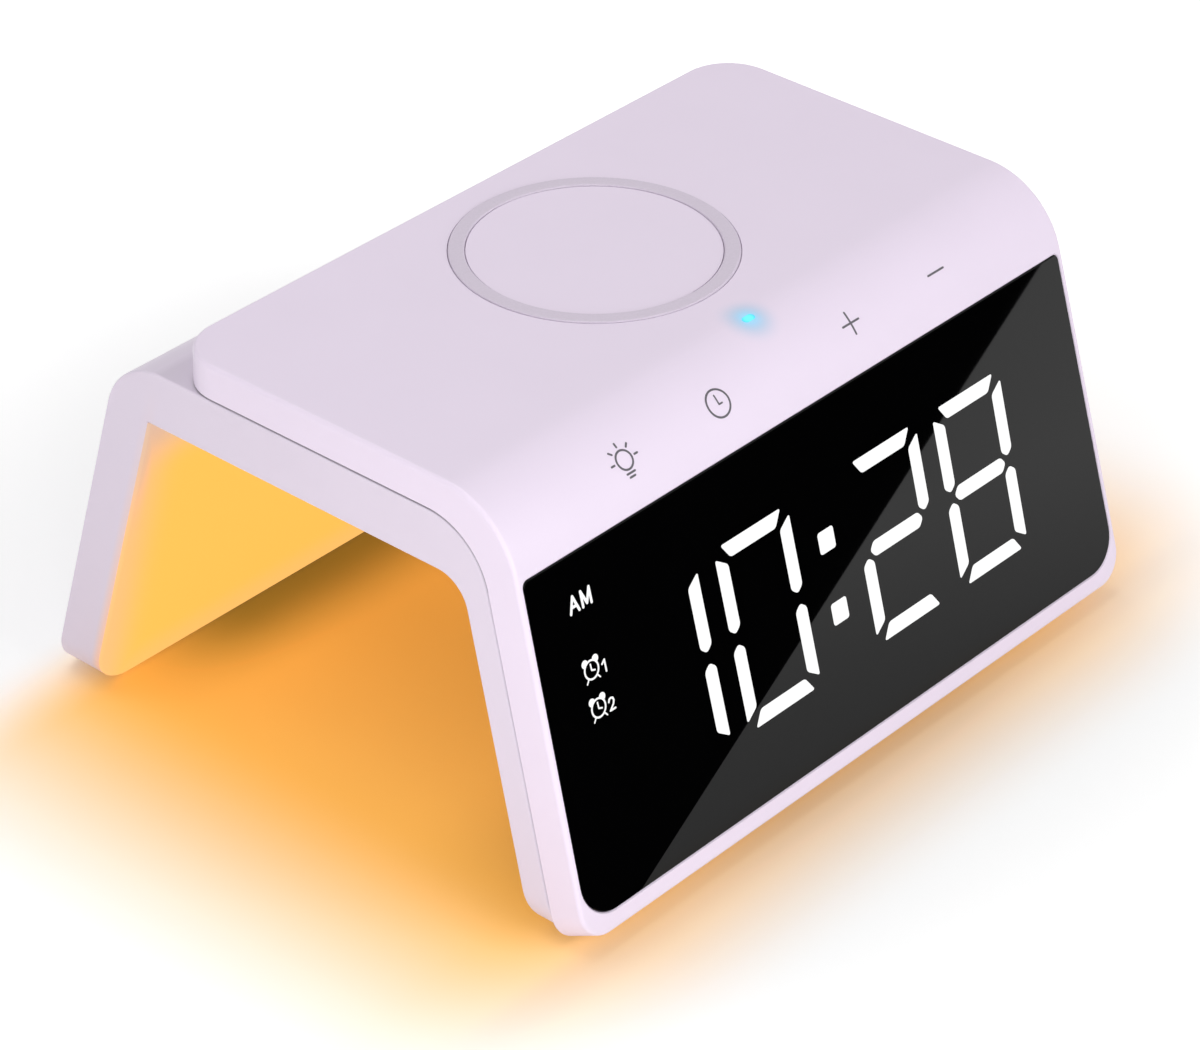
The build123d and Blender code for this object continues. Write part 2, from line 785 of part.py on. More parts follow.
with BuildPart() as ferrite:
    with BuildSketch(charger_plane.offset(tray_top)):
        Circle(ferrite_radius)
    extrude(amount=ferrite_thickness)
finish(ferrite, "ferrite_sheet")

with BuildPart() as coil_tray:
    with BuildSketch(charger_plane.offset(tray_top)):
        Circle(tray_radius)
    extrude(amount=-tray_floor)
    with BuildSketch(charger_plane.offset(tray_top)):
        Circle(tray_radius)
        Circle(ferrite_radius + fit_gap, mode=Mode.SUBTRACT)
    extrude(amount=tray_rim_height)
    with BuildSketch(charger_plane.offset(charge_board_top)):
        with PolarLocations(tray_radius - tray_leg_inset, tray_leg_count, start_angle=90):
            Circle(tray_leg_diameter / 2)
    extrude(amount=tray_top - tray_floor - charge_board_top)
finish(coil_tray, "coil_tray")

with BuildPart() as charge_board:
    with BuildSketch(charger_plane.offset(charge_board_z)):
        RectangleRounded(charge_board_length, charge_board_depth, standoff_inset)
    extrude(amount=board_thickness)
finish(charge_board, "charging_board")

with BuildPart() as charge_components:
    for x, y, long, deep, tall in charge_parts:
        with BuildSketch(charger_plane.offset(charge_board_top)):
            with Locations((x, y)):
                Rectangle(long, deep)
        extrude(amount=tall)
finish(charge_components, "charging_components")

# Flat leads: inlet board to charging board through the rear leg, and charging board to display board.
lead_z = charge_board_z + board_thickness / 2
half_lead = lead_thickness / 2
inlet_board_top = inlet_v + inlet_board_height / 2
power_w = half_lead - inlet_depth
with BuildPart() as power_lead:
    with BuildSketch(Plane.YZ.offset(power_lead_x)):
        end_y = charger_y + charge_board_depth / 2
        add(section(
            [rear(inlet_board_top, power_w - half_lead), rear_at(power_w - half_lead, lead_z - half_lead),
             (end_y, lead_z - half_lead), (end_y, lead_z + half_lead),
             rear_at(power_w + half_lead, lead_z + half_lead), rear(inlet_board_top, power_w + half_lead)],
            [0, lead_bend, 0, 0, lead_bend + lead_thickness, 0]))
    extrude(amount=lead_width / 2, both=True)
finish(power_lead, "power_lead")

ribbon_w = -board_back - lead_thickness
ribbon_end = (lead_z - half_lead - ribbon_w * lean_sin) / lean_cos - display_lead_lap
with BuildPart() as display_ribbon:
    with BuildSketch(Plane.YZ.offset(display_lead_x)):
        end_y = charger_y - charge_board_depth / 2
        add(section(
            [front(ribbon_end, ribbon_w), front_at(ribbon_w, lead_z - half_lead), (end_y, lead_z - half_lead),
             (end_y, lead_z + half_lead), front_at(-board_back, lead_z + half_lead),
             front(ribbon_end, -board_back)],
            [0, lead_bend, 0, 0, lead_bend + lead_thickness, 0]))
    extrude(amount=lead_width / 2, both=True)
finish(display_ribbon, "display_ribbon")

# Backup cell: a door that turns in the bridge's underside, the cell, its holder and its contact.
with BuildPart() as door:
    with BuildSketch(door_plane.offset(top_under + door_recess)):
        Circle(door_radius)
    extrude(amount=door_top - top_under - door_recess)
    with BuildSketch(door_plane.offset(lug_low)):
        add(sectors(lug_radius, lug_angle, 0))
    extrude(amount=lug_thickness)
    with BuildSketch(door_plane.offset(top_under + door_recess)):
        Circle(door_grip_radius)
        Circle(door_grip_radius - coin_slot_width / 2, mode=Mode.SUBTRACT)
    extrude(amount=door_grip_depth, mode=Mode.SUBTRACT)
    with BuildSketch(door_plane.offset(top_under + door_recess)):
        SlotOverall(coin_slot_length, coin_slot_width)
    extrude(amount=coin_slot_depth, mode=Mode.SUBTRACT)
finish(door, "battery_door")

with BuildPart() as cell:
    with BuildSketch(door_plane.offset(cell_low)):
        Circle(cell_diameter / 2)
    extrude(amount=cell_thickness)
finish(cell, "coin_cell")

collar_radius = cell_diameter / 2 + cell_gap
skirt_radius = lug_radius + holder_gap
roof_low = cell_top + contact_thickness
with BuildPart() as holder:
    with BuildSketch(door_plane.offset(base_floor)):
        Circle(skirt_radius + holder_wall)
    extrude(amount=roof_low + holder_wall - base_floor)
    with BuildSketch(door_plane.offset(base_floor)):
        Circle(skirt_radius)
    extrude(amount=roof_low - base_floor, mode=Mode.SUBTRACT)
    with BuildSketch(door_plane.offset(cell_low)):
        Circle(collar_radius + holder_wall)
        Circle(collar_radius, mode=Mode.SUBTRACT)
    extrude(amount=roof_low - cell_low)
finish(holder, "battery_holder")

with BuildPart() as contact:
    with BuildSketch(door_plane.offset(cell_top)):
        SlotOverall(contact_length, contact_width)
    extrude(amount=contact_thickness)
finish(contact, "battery_contact")

# Sounder: a gasket on the bridge's floor and the driver that stands on it.
with BuildPart() as gasket:
    with BuildSketch(speaker_plane.offset(base_floor)):
        Circle(speaker_radius)
        Circle(speaker_radius - speaker_gasket_width, mode=Mode.SUBTRACT)
    extrude(amount=speaker_gasket)
finish(gasket, "speaker_gasket")

speaker_low = base_floor + speaker_gasket
with BuildPart() as speaker:
    with BuildSketch(speaker_plane.offset(speaker_low)):
        Circle(speaker_radius)
    extrude(amount=speaker_rim_height)
    with BuildSketch(speaker_plane.offset(speaker_low + speaker_rim_height)):
        Circle(speaker_magnet_radius)
    extrude(amount=speaker_height - speaker_rim_height)
finish(speaker, "speaker")

# Night light: a white reflector against the leg's back, a strip board and its lights.
reflector_inset = base_wall + fit_gap
reflector_block = bridge_block(
    [rear(reflector_low, -base_wall), rear_at(-base_wall, rim_high),
     rear_at(-base_wall - reflector_lip, rim_high), rear(reflector_low, -base_wall - reflector_lip)],
    [0, 0, 0, 0], reflector_inset, reflector_lip)
reflector_core = bridge_block(
    [rear(reflector_low + reflector_thickness, -base_wall - reflector_thickness),
     rear_at(-base_wall - reflector_thickness, rim_high - reflector_thickness),
     rear_at(-2 * base_wall - reflector_lip, rim_high - reflector_thickness),
     rear(reflector_low + reflector_thickness, -2 * base_wall - reflector_lip)],
    [0, 0, 0, 0], reflector_inset + reflector_thickness, reflector_lip - reflector_thickness)

with BuildPart() as reflector:
    add(reflector_block)
    add(reflector_core, mode=Mode.SUBTRACT)
finish(reflector, "night_light_reflector")

light_board_v = reflector_low + light_board_rise
light_board_low = base_wall + reflector_thickness
light_board_top = (light_board_v + light_board_height / 2) * lean_cos
light_board_length = 2 * half_length(light_board_top, light_board_low + light_board_end_gap)
led_count = int((light_board_length - 2 * led_end_inset) / led_pitch) + 1
with BuildPart() as light_board:
    with BuildSketch(rear_plane.offset(-light_board_low)):
        with Locations((0, light_board_v)):
            Rectangle(light_board_length, light_board_height)
    extrude(amount=-light_board_thickness)
finish(light_board, "night_light_board")

with BuildPart() as leds:
    with BuildSketch(rear_plane.offset(-light_board_low - light_board_thickness)):
        with Locations((0, light_board_v)):
            with GridLocations(led_pitch, led_pitch, led_count, 1):
                Rectangle(led_size, led_size)
    extrude(amount=-led_height)
finish(leds, "night_light_leds")

# Power inlet: a shell open to the back, its contact tongue and its board.
with BuildPart() as inlet:
    with BuildSketch(rear_plane.offset(-inlet_depth)):
        with Locations((0, inlet_v)):
            SlotOverall(inlet_width, inlet_height)
    extrude(amount=inlet_depth - inlet_recess)
    with BuildSketch(rear_plane.offset(inlet_back - inlet_depth)):
        with Locations((0, inlet_v)):
            SlotOverall(inlet_width - 2 * inlet_wall, inlet_height - 2 * inlet_wall)
    extrude(amount=inlet_depth, mode=Mode.SUBTRACT)
finish(inlet, "usb_socket")

with BuildPart() as inlet_tongue:
    with BuildSketch(rear_plane.offset(inlet_back - inlet_depth)):
        with Locations((0, inlet_v)):
            Rectangle(inlet_tongue_width, inlet_tongue_height)
    extrude(amount=inlet_tongue_depth)
finish(inlet_tongue, "usb_tongue")

with BuildPart() as inlet_board:
    with BuildSketch(rear_plane.offset(-inlet_depth)):
        with Locations((0, inlet_v)):
            Rectangle(inlet_board_width, inlet_board_height)
    extrude(amount=-inlet_board_thickness)
finish(inlet_board, "usb_board")

# Screws that hold the cover down, and the pads that the legs stand on.
head_top = top_under + screw_recess
with BuildPart() as cover_screws:
    with BuildSketch(Plane.XY.offset(head_top)):
        with Locations(*screw_places):
            Circle(screw_head / 2)
    extrude(amount=-screw_head_height)
    with BuildSketch(Plane.XY.offset(head_top)):
        with Locations(*screw_places):
            Circle(screw_shank / 2)
    extrude(amount=screw_length)
    with BuildSketch(Plane.XY.offset(head_top - screw_head_height)):
        with Locations(*screw_places):
            Rectangle(screw_slot_length, screw_slot_width)
            Rectangle(screw_slot_width, screw_slot_length)
    extrude(amount=screw_slot_depth, mode=Mode.SUBTRACT)
finish(cover_screws, "cover_screws")

pad_x = half_length(0, foot_radius + pad_end_gap + pad_length / 2)
with BuildPart() as pads:
    with BuildSketch():
        for leg_at, inner in ((front_at, leg_thickness), (rear_at, rear_housing)):
            pad_y = [leg_at(depth - inner, floor_gap)[0] for depth in (pad_inset, pad_inset + pad_width)]
            with Locations(*[(x, sum(pad_y) / 2) for x in (-pad_x, pad_x)]):
                RectangleRounded(pad_length, abs(pad_y[1] - pad_y[0]), pad_corner_radius)
    extrude(amount=floor_gap)
finish(pads, "rubber_feet")
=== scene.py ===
from math import asin, ceil, cos, radians, sin, sqrt, tan

import bpy
from bpy.props import FloatProperty, FloatVectorProperty, PointerProperty, StringProperty
from mathutils import Euler, Matrix, Vector


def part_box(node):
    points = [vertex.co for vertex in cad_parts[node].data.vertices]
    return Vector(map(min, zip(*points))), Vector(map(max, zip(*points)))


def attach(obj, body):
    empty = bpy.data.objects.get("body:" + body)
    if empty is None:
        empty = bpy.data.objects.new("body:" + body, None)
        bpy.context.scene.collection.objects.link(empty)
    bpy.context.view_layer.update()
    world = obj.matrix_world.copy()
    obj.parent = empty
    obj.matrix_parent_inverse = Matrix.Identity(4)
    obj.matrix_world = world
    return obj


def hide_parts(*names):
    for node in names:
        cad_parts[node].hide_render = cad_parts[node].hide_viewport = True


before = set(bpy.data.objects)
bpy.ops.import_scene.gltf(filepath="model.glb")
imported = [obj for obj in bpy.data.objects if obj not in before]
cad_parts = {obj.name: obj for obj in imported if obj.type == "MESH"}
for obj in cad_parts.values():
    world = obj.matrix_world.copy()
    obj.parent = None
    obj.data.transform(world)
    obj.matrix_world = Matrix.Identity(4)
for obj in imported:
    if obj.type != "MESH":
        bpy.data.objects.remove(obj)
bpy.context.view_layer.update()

bl_info = {
    "name": "Bridge alarm clock",
    "version": (1, 0, 0),
    "blender": (4, 5, 0),
    "location": "3D View > Sidebar > Clock",
    "description": "Alarm clock with a charging top, a display on its leaning front leg and a night light",
    "category": "Object",
}

MM = 0.001
# Thicknesses of the front leg, of the rear leg and of the rear leg's housing behind the lit panel
FRONT_DEPTH = 13.2 * MM
REAR_DEPTH = 10.6 * MM
HOUSING_DEPTH = 9.9 * MM
# Cover's thickness at the seam, on the front leg and on the top, and the bend of the bridge under it
COVER_DEPTH = 7.5 * MM
COVER_TOP_DEPTH = 7.0 * MM
BRIDGE_BEND = 14.0 * MM
# Where the painted shade in the seam on the cover and on the bridge starts and ends, outside the bridge's
# outline
COVER_SEAM_SHADE = (0.32 * MM, 0.42 * MM)
BASE_SEAM_SHADE = (0.4 * MM, -0.15 * MM)
# How far an end leans in, for each metre up
END_DRAFT = tan(radians(2))

# Bars of a digit: a top, then clockwise to f upper left, and g across the middle
LIT_BARS = {"0": "abcdef", "1": "bc", "2": "abged", "3": "abgcd", "4": "fgbc", "5": "afgcd",
            "6": "afgecd", "7": "abc", "8": "abcdefg", "9": "abcdfg"}
# Pen lines of the lit letters and small numbers, in shares of the sign's width and height
PEN_LINES = {"A": [[(0, 0), (0.5, 1), (1, 0)], [(0.2, 0.36), (0.8, 0.36)]],
             "P": [[(0, 0), (0, 1), (0.7, 1), (1, 0.85), (1, 0.6), (0.7, 0.45), (0, 0.45)]],
             "M": [[(0, 0), (0, 1), (0.5, 0.12), (1, 1), (1, 0)]],
             "1": [[(0.05, 0.74), (0.6, 1), (0.6, 0)]],
             "2": [[(0, 0.74), (0.16, 0.95), (0.5, 1), (0.84, 0.93), (0.96, 0.7), (0.8, 0.44), (0, 0),
                    (1, 0)]]}


def face_of_display():
    """Lean of the display's face, and where its plane meets the table."""
    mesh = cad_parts["display_window"].data
    face = max((f for f in mesh.polygons if f.normal.y < 0), key=lambda f: f.area)
    lean = asin(face.normal.z)
    return lean, face.center.y - face.center.z * face.normal.z / -face.normal.y


lean, face_foot = face_of_display()
lean_sin, lean_cos = sin(lean), cos(lean)
top_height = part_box("front_cover")[1].z
# Display face: local x along the clock, local y up the face, local z out of it
display_matrix = Matrix(((1, 0, 0, 0), (0, lean_sin, -lean_cos, face_foot),
                         (0, lean_cos, lean_sin, 0), (0, 0, 0, 1)))


def face_span(node):
    """Lowest and highest corner of a node on the display's face."""
    flat = display_matrix.inverted()
    points = [flat @ v.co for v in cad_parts[node].data.vertices]
    return (Vector((min(p.x for p in points), min(p.y for p in points))),
            Vector((max(p.x for p in points), max(p.y for p in points))))


digits_low, digits_high = face_span("display_segments")


def length(name, description, millimetres):
    """A length property, given in millimetres."""
    return FloatProperty(name=name, description=description, default=millimetres * MM, unit="LENGTH")


def spot(name, description, *millimetres):
    """A place or a size as two or more lengths, given in millimetres."""
    return FloatVectorProperty(name=name, description=description, size=len(millimetres),
                               default=[value * MM for value in millimetres], unit="LENGTH")


def colour(name, description, *value):
    """A linear colour property."""
    return FloatVectorProperty(name=name, description=description, size=3, default=value, subtype="COLOR",
                               min=0, max=1)


class ClockSizes(bpy.types.PropertyGroup):
    """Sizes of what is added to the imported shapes"""
    time: StringProperty(name="Time", description="Time that the digits show", default="10:28")
    day_half: StringProperty(name="Half of the day", description="AM or PM", default="AM")
    bend_radius: length("Bend", "Radius of the bend between the display and the top", 17.0)
    digit_width: length("Digit width", "Width of one digit", 19.75)
    digit_pitch: length("Digit pitch", "From one digit of a pair to the other", 24.4)
    colon_pitch: length("Colon pitch", "Between the digits beside the colon", 35.75)
    bar_width: length("Bar width", "Width of a light bar", 2.95)
    mitre_outer: length("Outer mitre", "Bar end to the digit's corner, on the outside", 1.9)
    mitre_inner: length("Inner mitre", "Bar end to the digit's corner, on the inside", 3.85)
    waist_gap: length("Waist gap", "Upright bar's tip to the digit's middle line", 1.0)
    waist_shoulder: length("Waist shoulder", "Height of a pointed bar end", 1.15)
    middle_tip: length("Middle tip", "Middle bar's tip to the digit's edge", 2.4)
    bar_rounding: length("Bar rounding", "Radius of a light bar's corners", 0.55)
    colon_size: length("Colon size", "Side of a colon square", 4.2)
    colon_rise: length("Colon rise", "Colon square to the digits' middle line", 6.9)
    inlay: length("Inlay", "How far lit signs and prints stand proud", 0.03)
    day_half_place: spot("Half of the day", "Lower left corner on the display's face", -64.0, 60.58)
    letter_size: spot("Letter size", "Width and height of a letter of that sign", 2.6, 3.38)
    letter_gap: length("Letter gap", "Gap between the two letters", 0.42)
    letter_line: length("Letter line", "Line width of a letter", 0.54)
    alarm_first: spot("First alarm", "Middle of the first alarm sign on the face", -61.86, 49.78)
    alarm_second: spot("Second alarm", "Middle of the second alarm sign on the face", -62.1, 42.76)
    alarm_radius: length("Alarm sign", "Radius of an alarm sign's ring", 1.66)
    alarm_line: length("Alarm line", "Line width of an alarm sign", 0.36)
    bell_radius: length("Bell", "Radius of an alarm sign's bell", 0.76)
    number_place: spot("Alarm number", "Lower left corner from the middle of its sign", 2.3, -1.95)
    number_size: spot("Alarm number size", "Width and height of an alarm number", 1.62, 2.5)
    number_line: length("Alarm number line", "Line width of an alarm number", 0.37)
    key_places: spot("Keys", "Places of the four key signs along the clock", -42.8, -18.6, 17.2, 41.3)
    key_arc: length("Key height", "Key signs round the bend, from the display's face", 8.4)
    key_line: length("Key line", "Line width of a key sign", 0.38)
    bulb_radius: length("Bulb sign", "Radius of the night light's sign", 1.75)
    dial_radius: length("Dial sign", "Radius of the clock's sign", 2.55)
    arm: length("Plus and minus", "Half the length of a plus or minus arm", 2.15)
    indicator_halo: length("Indicator halo", "How far the indicator's light spreads in the cover", 7.0)
    pad_edge: length("Foot edge", "Rounding of the foot pads", 0.2)


class ClockColours(bpy.types.PropertyGroup):
    """Colours of the finishes and the stage, linear"""
    cover: colour("Cover", "Satin cover", 0.855, 0.75, 0.895)
    base: colour("Base", "Satin bridge and battery door", 0.765, 0.68, 0.80)
    amber: colour("Amber", "Lit panel of the night light", 0.93, 0.51, 0.092)
    amber_edge: colour("Amber edge", "Lit panel towards its edges", 0.93, 0.485, 0.20)
    # Painted shade: colour of the lit panel's top under the arch
    amber_painted_shade: colour("Amber top", "Lit panel under the arch", 0.60, 0.43, 0.36)
    # Painted light: colour of the warm glow painted on the rear leg's rim
    light_bleed: colour("Bleed", "Rear leg's rim beside the lit panel", 0.93, 0.56, 0.38)
    window: colour("Window", "Gloss display window", 0.0006, 0.0006, 0.0007)
    digits: colour("Digits", "Lit digits and signs", 1.0, 1.0, 1.0)
    prints: colour("Key signs", "Printed key signs", 0.115, 0.105, 0.125)
    indicator: colour("Indicator", "Charge indicator", 0.06, 0.72, 1.0)
    # Painted light: colour of the glow painted in the cover round the lit charge indicator
    halo: colour("Halo", "Cover round the lit charge indicator", 0.22, 0.56, 0.80)
    floor: colour("Floor", "Pale floor", 0.90, 0.90, 0.90)
    # Painted light and painted shadow: the floor's colours in the night light's glow and in the rear leg's
    # shade
    floor_glow: colour("Floor glow", "Floor in the night light's glow", 1.0, 0.545, 0.12)
    floor_shade: colour("Floor shade", "Floor in the shade of the rear leg", 0.33, 0.215, 0.038)


class ClockStage(bpy.types.PropertyGroup):
    """Camera, and the night light's glow painted on the floor"""
    lens: FloatProperty(name="Lens", description="Camera's focal length in millimetres", default=135.2)
    eye: FloatVectorProperty(name="Eye", description="Camera's place", size=3, unit="LENGTH",
                             default=(-0.52134, -0.46071, 0.47715))
    look: FloatVectorProperty(name="Look", description="Camera's elevation, azimuth and roll", size=3,
                              subtype="EULER", default=(radians(33.107), radians(-48.57), radians(0.1525)))
    glow_middle: length("Glow middle", "Middle of the fully lit floor, along the clock", -5.0)
    glow_half: length("Glow half", "Half the length of the fully lit floor", 53.0)
    glow_front: length("Glow front", "Fully lit floor in front of the clock's middle", 46.0)
    glow_rear: length("Glow rear", "Fully lit floor behind the clock's middle", 52.0)
    glow_fade: spot("Glow fade", "Where the glow past that floor starts to fade and ends", 8.0, 68.0)
    white_floor: spot("White floor", "Where the floor starts to turn white and is white", 90.0, 250.0)


# Modelling helpers


def only(*pieces):
    """Select these pieces alone, with the first one active."""
    bpy.ops.object.select_all(action="DESELECT")
    for piece in pieces:
        piece.select_set(True)
    bpy.context.view_layer.objects.active = pieces[0]


def open_all(piece):
    """Open a piece in edit mode with all of it selected."""
    only(piece)
    bpy.ops.object.mode_set(mode="EDIT")
    bpy.ops.mesh.select_all(action="SELECT")


def close_edit():
    """Go back to object mode and return the piece."""
    bpy.ops.object.mode_set(mode="OBJECT")
    return bpy.context.active_object


def settle(piece):
    """Put a piece's place, turn and scale into its mesh."""
    only(piece)
    bpy.ops.object.transform_apply(location=True, rotation=True, scale=True)
    return piece


def place(piece, matrix):
    """Place a piece that lies at the origin."""
    piece.matrix_world = matrix
    return settle(piece)


def apply_modifier(piece, kind, **settings):
    """Add a modifier with its settings and apply it."""
    modifier = piece.modifiers.new(kind.lower(), kind)
    for key, value in settings.items():
        setattr(modifier, key, value)
    only(piece)
    bpy.ops.object.modifier_apply(modifier=modifier.name)
    return piece


def join(name, pieces):
    """Make one piece of several."""
    only(*pieces)
    bpy.ops.object.join()
    piece = bpy.context.active_object
    piece.name = name
    return piece


def copied(piece, offset):
    """A copy of a piece with its own mesh, moved by offset."""
    only(piece)
    bpy.ops.object.duplicate()
    copy = bpy.context.active_object
    copy.location = offset
    return settle(copy)


def smooth(piece, angle=radians(32)):
    """Smooth shading that keeps hard edges, with flat faces left flat beside their rounded edges."""
    only(piece)
    bpy.ops.object.shade_smooth_by_angle(angle=angle)
    return apply_modifier(piece, "WEIGHTED_NORMAL", keep_sharp=True, weight=100)


def merged_copy(node, name):
    """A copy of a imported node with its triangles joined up."""
    piece = bpy.data.objects.new(name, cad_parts[node].data.copy())
    bpy.context.collection.objects.link(piece)
    open_all(piece)
    bpy.ops.mesh.customdata_custom_splitnormals_clear()
    bpy.ops.mesh.remove_doubles(threshold=1e-6)
    return close_edit()


def finish_piece(piece, material, body="clock", node=None):
    """Give a piece its finish and its body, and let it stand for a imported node."""
    piece.data.materials.clear()
    piece.data.materials.append(material)
    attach(piece, body)
    if node:
        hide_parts(node)
    return piece


# Flat signs, drawn at the origin with x to the right and y up


def stroke(start, end, width):
    """A straight line with round ends."""
    start, end = Vector(start), Vector(end)
    reach = (end - start).length + width
    half = width / 2
    steps = ceil(reach / half * 5)
    bpy.ops.mesh.primitive_grid_add(x_subdivisions=steps, y_subdivisions=1, size=1)
    line = bpy.context.active_object
    line.scale = (reach, width, 1)
    settle(line)
    for v in line.data.vertices:
        past = max(0, abs(v.co.x) - (reach / 2 - half)) / half
        v.co.y *= sqrt(max(0, 1 - past * past))
    open_all(line)
    bpy.ops.mesh.remove_doubles(threshold=1e-7)
    line = close_edit()
    across = (end - start).to_2d()
    turn = Vector((1, 0)).angle_signed(across, 0)
    middle = (start + end) / 2
    return place(line, Matrix.Translation((middle.x, middle.y, 0)) @ Matrix.Rotation(-turn, 4, "Z"))


def ring(middle, radius, width, sides=64):
    """A round line."""
    bpy.ops.mesh.primitive_circle_add(vertices=sides, radius=radius + width / 2, fill_type="NGON",
                                      location=(middle[0], middle[1], 0))
    open_all(settle(bpy.context.active_object))
    bpy.ops.mesh.inset(thickness=width)
    bpy.ops.mesh.delete(type="FACE")
    return close_edit()


def plate(outline, rounding):
    """A flat plate cut to a convex outline, with its corners rounded."""
    xs, ys = zip(*outline)
    middle = Vector(((min(xs) + max(xs)) / 2, (min(ys) + max(ys)) / 2, 0))
    bpy.ops.mesh.primitive_plane_add(size=1, location=middle)
    blank = bpy.context.active_object
    blank.scale = (max(xs) - min(xs), max(ys) - min(ys), 1)
    open_all(settle(blank))
    for a, b in zip(outline, outline[1:] + outline[:1]):
        out = Vector((b[1] - a[1], a[0] - b[0], 0)).normalized()
        if out.dot(middle - Vector((*a, 0))) > 0:
            out.negate()
        bpy.ops.mesh.select_all(action="SELECT")
        bpy.ops.mesh.bisect(plane_co=(*a, 0), plane_no=out, clear_outer=True)
    bpy.ops.mesh.select_all(action="SELECT")
    bpy.ops.mesh.remove_doubles(threshold=1e-6)
    bpy.ops.mesh.bevel(offset=rounding, segments=3, affect="VERTICES")
    return close_edit()


def pen_sign(character, low, size, line):
    """A letter or a number drawn with a round pen, its lower left corner at low."""
    left, foot = low[0] + line / 2, low[1] + line / 2
    width, height = size[0] - line, size[1] - line
    made = []
    for corners in PEN_LINES[character]:
        points = [(left + x * width, foot + y * height, 0) for x, y in corners]
        made += [stroke(start, end, line) for start, end in zip(points, points[1:])]
    return made


def raised(sign, height):
    """Give a flat sign its thickness, upwards."""
    open_all(sign)
    bpy.ops.mesh.normals_make_consistent(inside=False)
    sign = close_edit()
    if sign.data.polygons[0].normal.z < 0:
        open_all(sign)
        bpy.ops.mesh.flip_normals()
        close_edit()
    return apply_modifier(sign, "SOLIDIFY", thickness=height, offset=1)


def wrapped(sign, radius, arc):
    """Lay a flat sign on the bend, its middle at a distance arc round from the display's face."""
    bend_z = top_height - radius
    bend_y = face_foot + (bend_z * lean_sin + radius) / lean_cos
    for v in sign.data.vertices:
        angle = lean + (arc + v.co.y) / radius
        reach = radius + v.co.z
        v.co = (v.co.x, bend_y - reach * cos(angle), bend_z + reach * sin(angle))
    return sign


# Shader maths and finishes


class Wire:
    """An output socket of a material's nodes. Arithmetic on it adds Math nodes."""

    def __init__(self, finish, socket):
        self.finish = finish
        self.socket = socket

    def math(self, operation, first, second=0.0):
        return self.finish.node("ShaderNodeMath", {"operation": operation}, {0: first, 1: second})

    def __add__(self, other):
        return self.math("ADD", self, other)

    def __radd__(self, other):
        return self.math("ADD", other, self)

    def __sub__(self, other):
        return self.math("SUBTRACT", self, other)

    def __rsub__(self, other):
        return self.math("SUBTRACT", other, self)

    def __mul__(self, other):
        return self.math("MULTIPLY", self, other)

    def __rmul__(self, other):
        return self.math("MULTIPLY", other, self)

    def __truediv__(self, other):
        return self.math("DIVIDE", self, other)

    def __abs__(self):
        return self.math("ABSOLUTE", self)

    def __pow__(self, power):
        return self.math("POWER", self, power)

    def above(self, floor):
        return self.math("MAXIMUM", self, floor)

    def under(self, limit):
        return self.math("MINIMUM", self, limit)

    def below(self, limit):
        return self.math("LESS_THAN", self, limit)


class Finish:
    """A node material, or the world's nodes, while they are wired."""

    def __init__(self, owner):
        owner.use_nodes = True
        self.owner = owner
        self.tree = owner.node_tree
        self.tree.nodes.clear()
        self.places = None

    def node(self, kind, settings=(), inputs=(), output=0):
        """Add a node: its settings first, then the values or wires of its sockets."""
        made = self.tree.nodes.new(kind)
        for key, value in dict(settings).items():
            setattr(made, key, value)
        for key, value in dict(inputs).items():
            if isinstance(value, Wire):
                self.tree.links.new(value.socket, made.inputs[key])
            else:
                made.inputs[key].default_value = value
        return Wire(self, made.outputs[output])

    def place(self):
        """Object coordinates."""
        if self.places is None:
            self.places = self.node("ShaderNodeTexCoord", output="Object")
        return self.places

    def axes(self):
        """Object coordinates as three numbers."""
        split = self.node("ShaderNodeSeparateXYZ", (), {0: self.place()})
        return [Wire(self, socket) for socket in split.socket.node.outputs]

    def noise(self, size, detail=2.0, stretch=(1, 1, 1)):
        """Noise from 0 to 1 with grains of about this size in metres."""
        at = self.node("ShaderNodeMapping", (), {"Vector": self.place(), "Scale": stretch})
        return self.node("ShaderNodeTexNoise", (), {"Vector": at, "Scale": 1 / size, "Detail": detail})

    def from_point(self, point):
        """Distance from a point."""
        gap = {"operation": "DISTANCE"}
        return self.node("ShaderNodeVectorMath", gap, {0: self.place(), 1: point}, "Value")

    def ease(self, value, start, end):
        """1 at start, falling softly to 0 at end."""
        return self.node("ShaderNodeMapRange", {"interpolation_type": "SMOOTHSTEP"},
                         {"Value": value, "From Min": start, "From Max": end, "To Min": 1.0, "To Max": 0.0})

    def mix(self, factor, first, second):
        """Blend of two colours."""
        full = [value if isinstance(value, Wire) else (*value, 1) for value in (first, second)]
        return self.node("ShaderNodeMix", {"data_type": "RGBA"}, {0: factor, 6: full[0], 7: full[1]}, 2)

    def bump(self, height, depth, strength):
        """Normals bent by a height from 0 to 1 that stands for depth in metres."""
        inputs = {"Height": height, "Distance": depth, "Strength": strength}
        return self.node("ShaderNodeBump", (), inputs, "Normal")

    def shader(self, **sockets):
        """The main shader, with its sockets named in words joined by underscores."""
        values = {}
        for words, value in sockets.items():
            key = words.replace("_", " ").title().replace("Ior", "IOR")
            flat_colour = "Color" in key and isinstance(value, tuple)
            values[key] = (*value, 1) if flat_colour else value
        return self.node("ShaderNodeBsdfPrincipled", (), values)

    def surface(self, **sockets):
        """Wire the main shader to the output and return the material."""
        return self.end(self.shader(**sockets))

    def end(self, shader, kind="ShaderNodeOutputMaterial"):
        """Wire a shader to the output and return what owns the nodes."""
        self.tree.links.new(shader.socket, self.tree.nodes.new(kind).inputs["Surface"])
        return self.owner


def scaled(rgb, factor):
    """A colour made lighter or darker."""
    return tuple(min(1.0, value * factor) for value in rgb)


def new_finish(name):
    """An empty finish."""
    return Finish(bpy.data.materials.new(name))


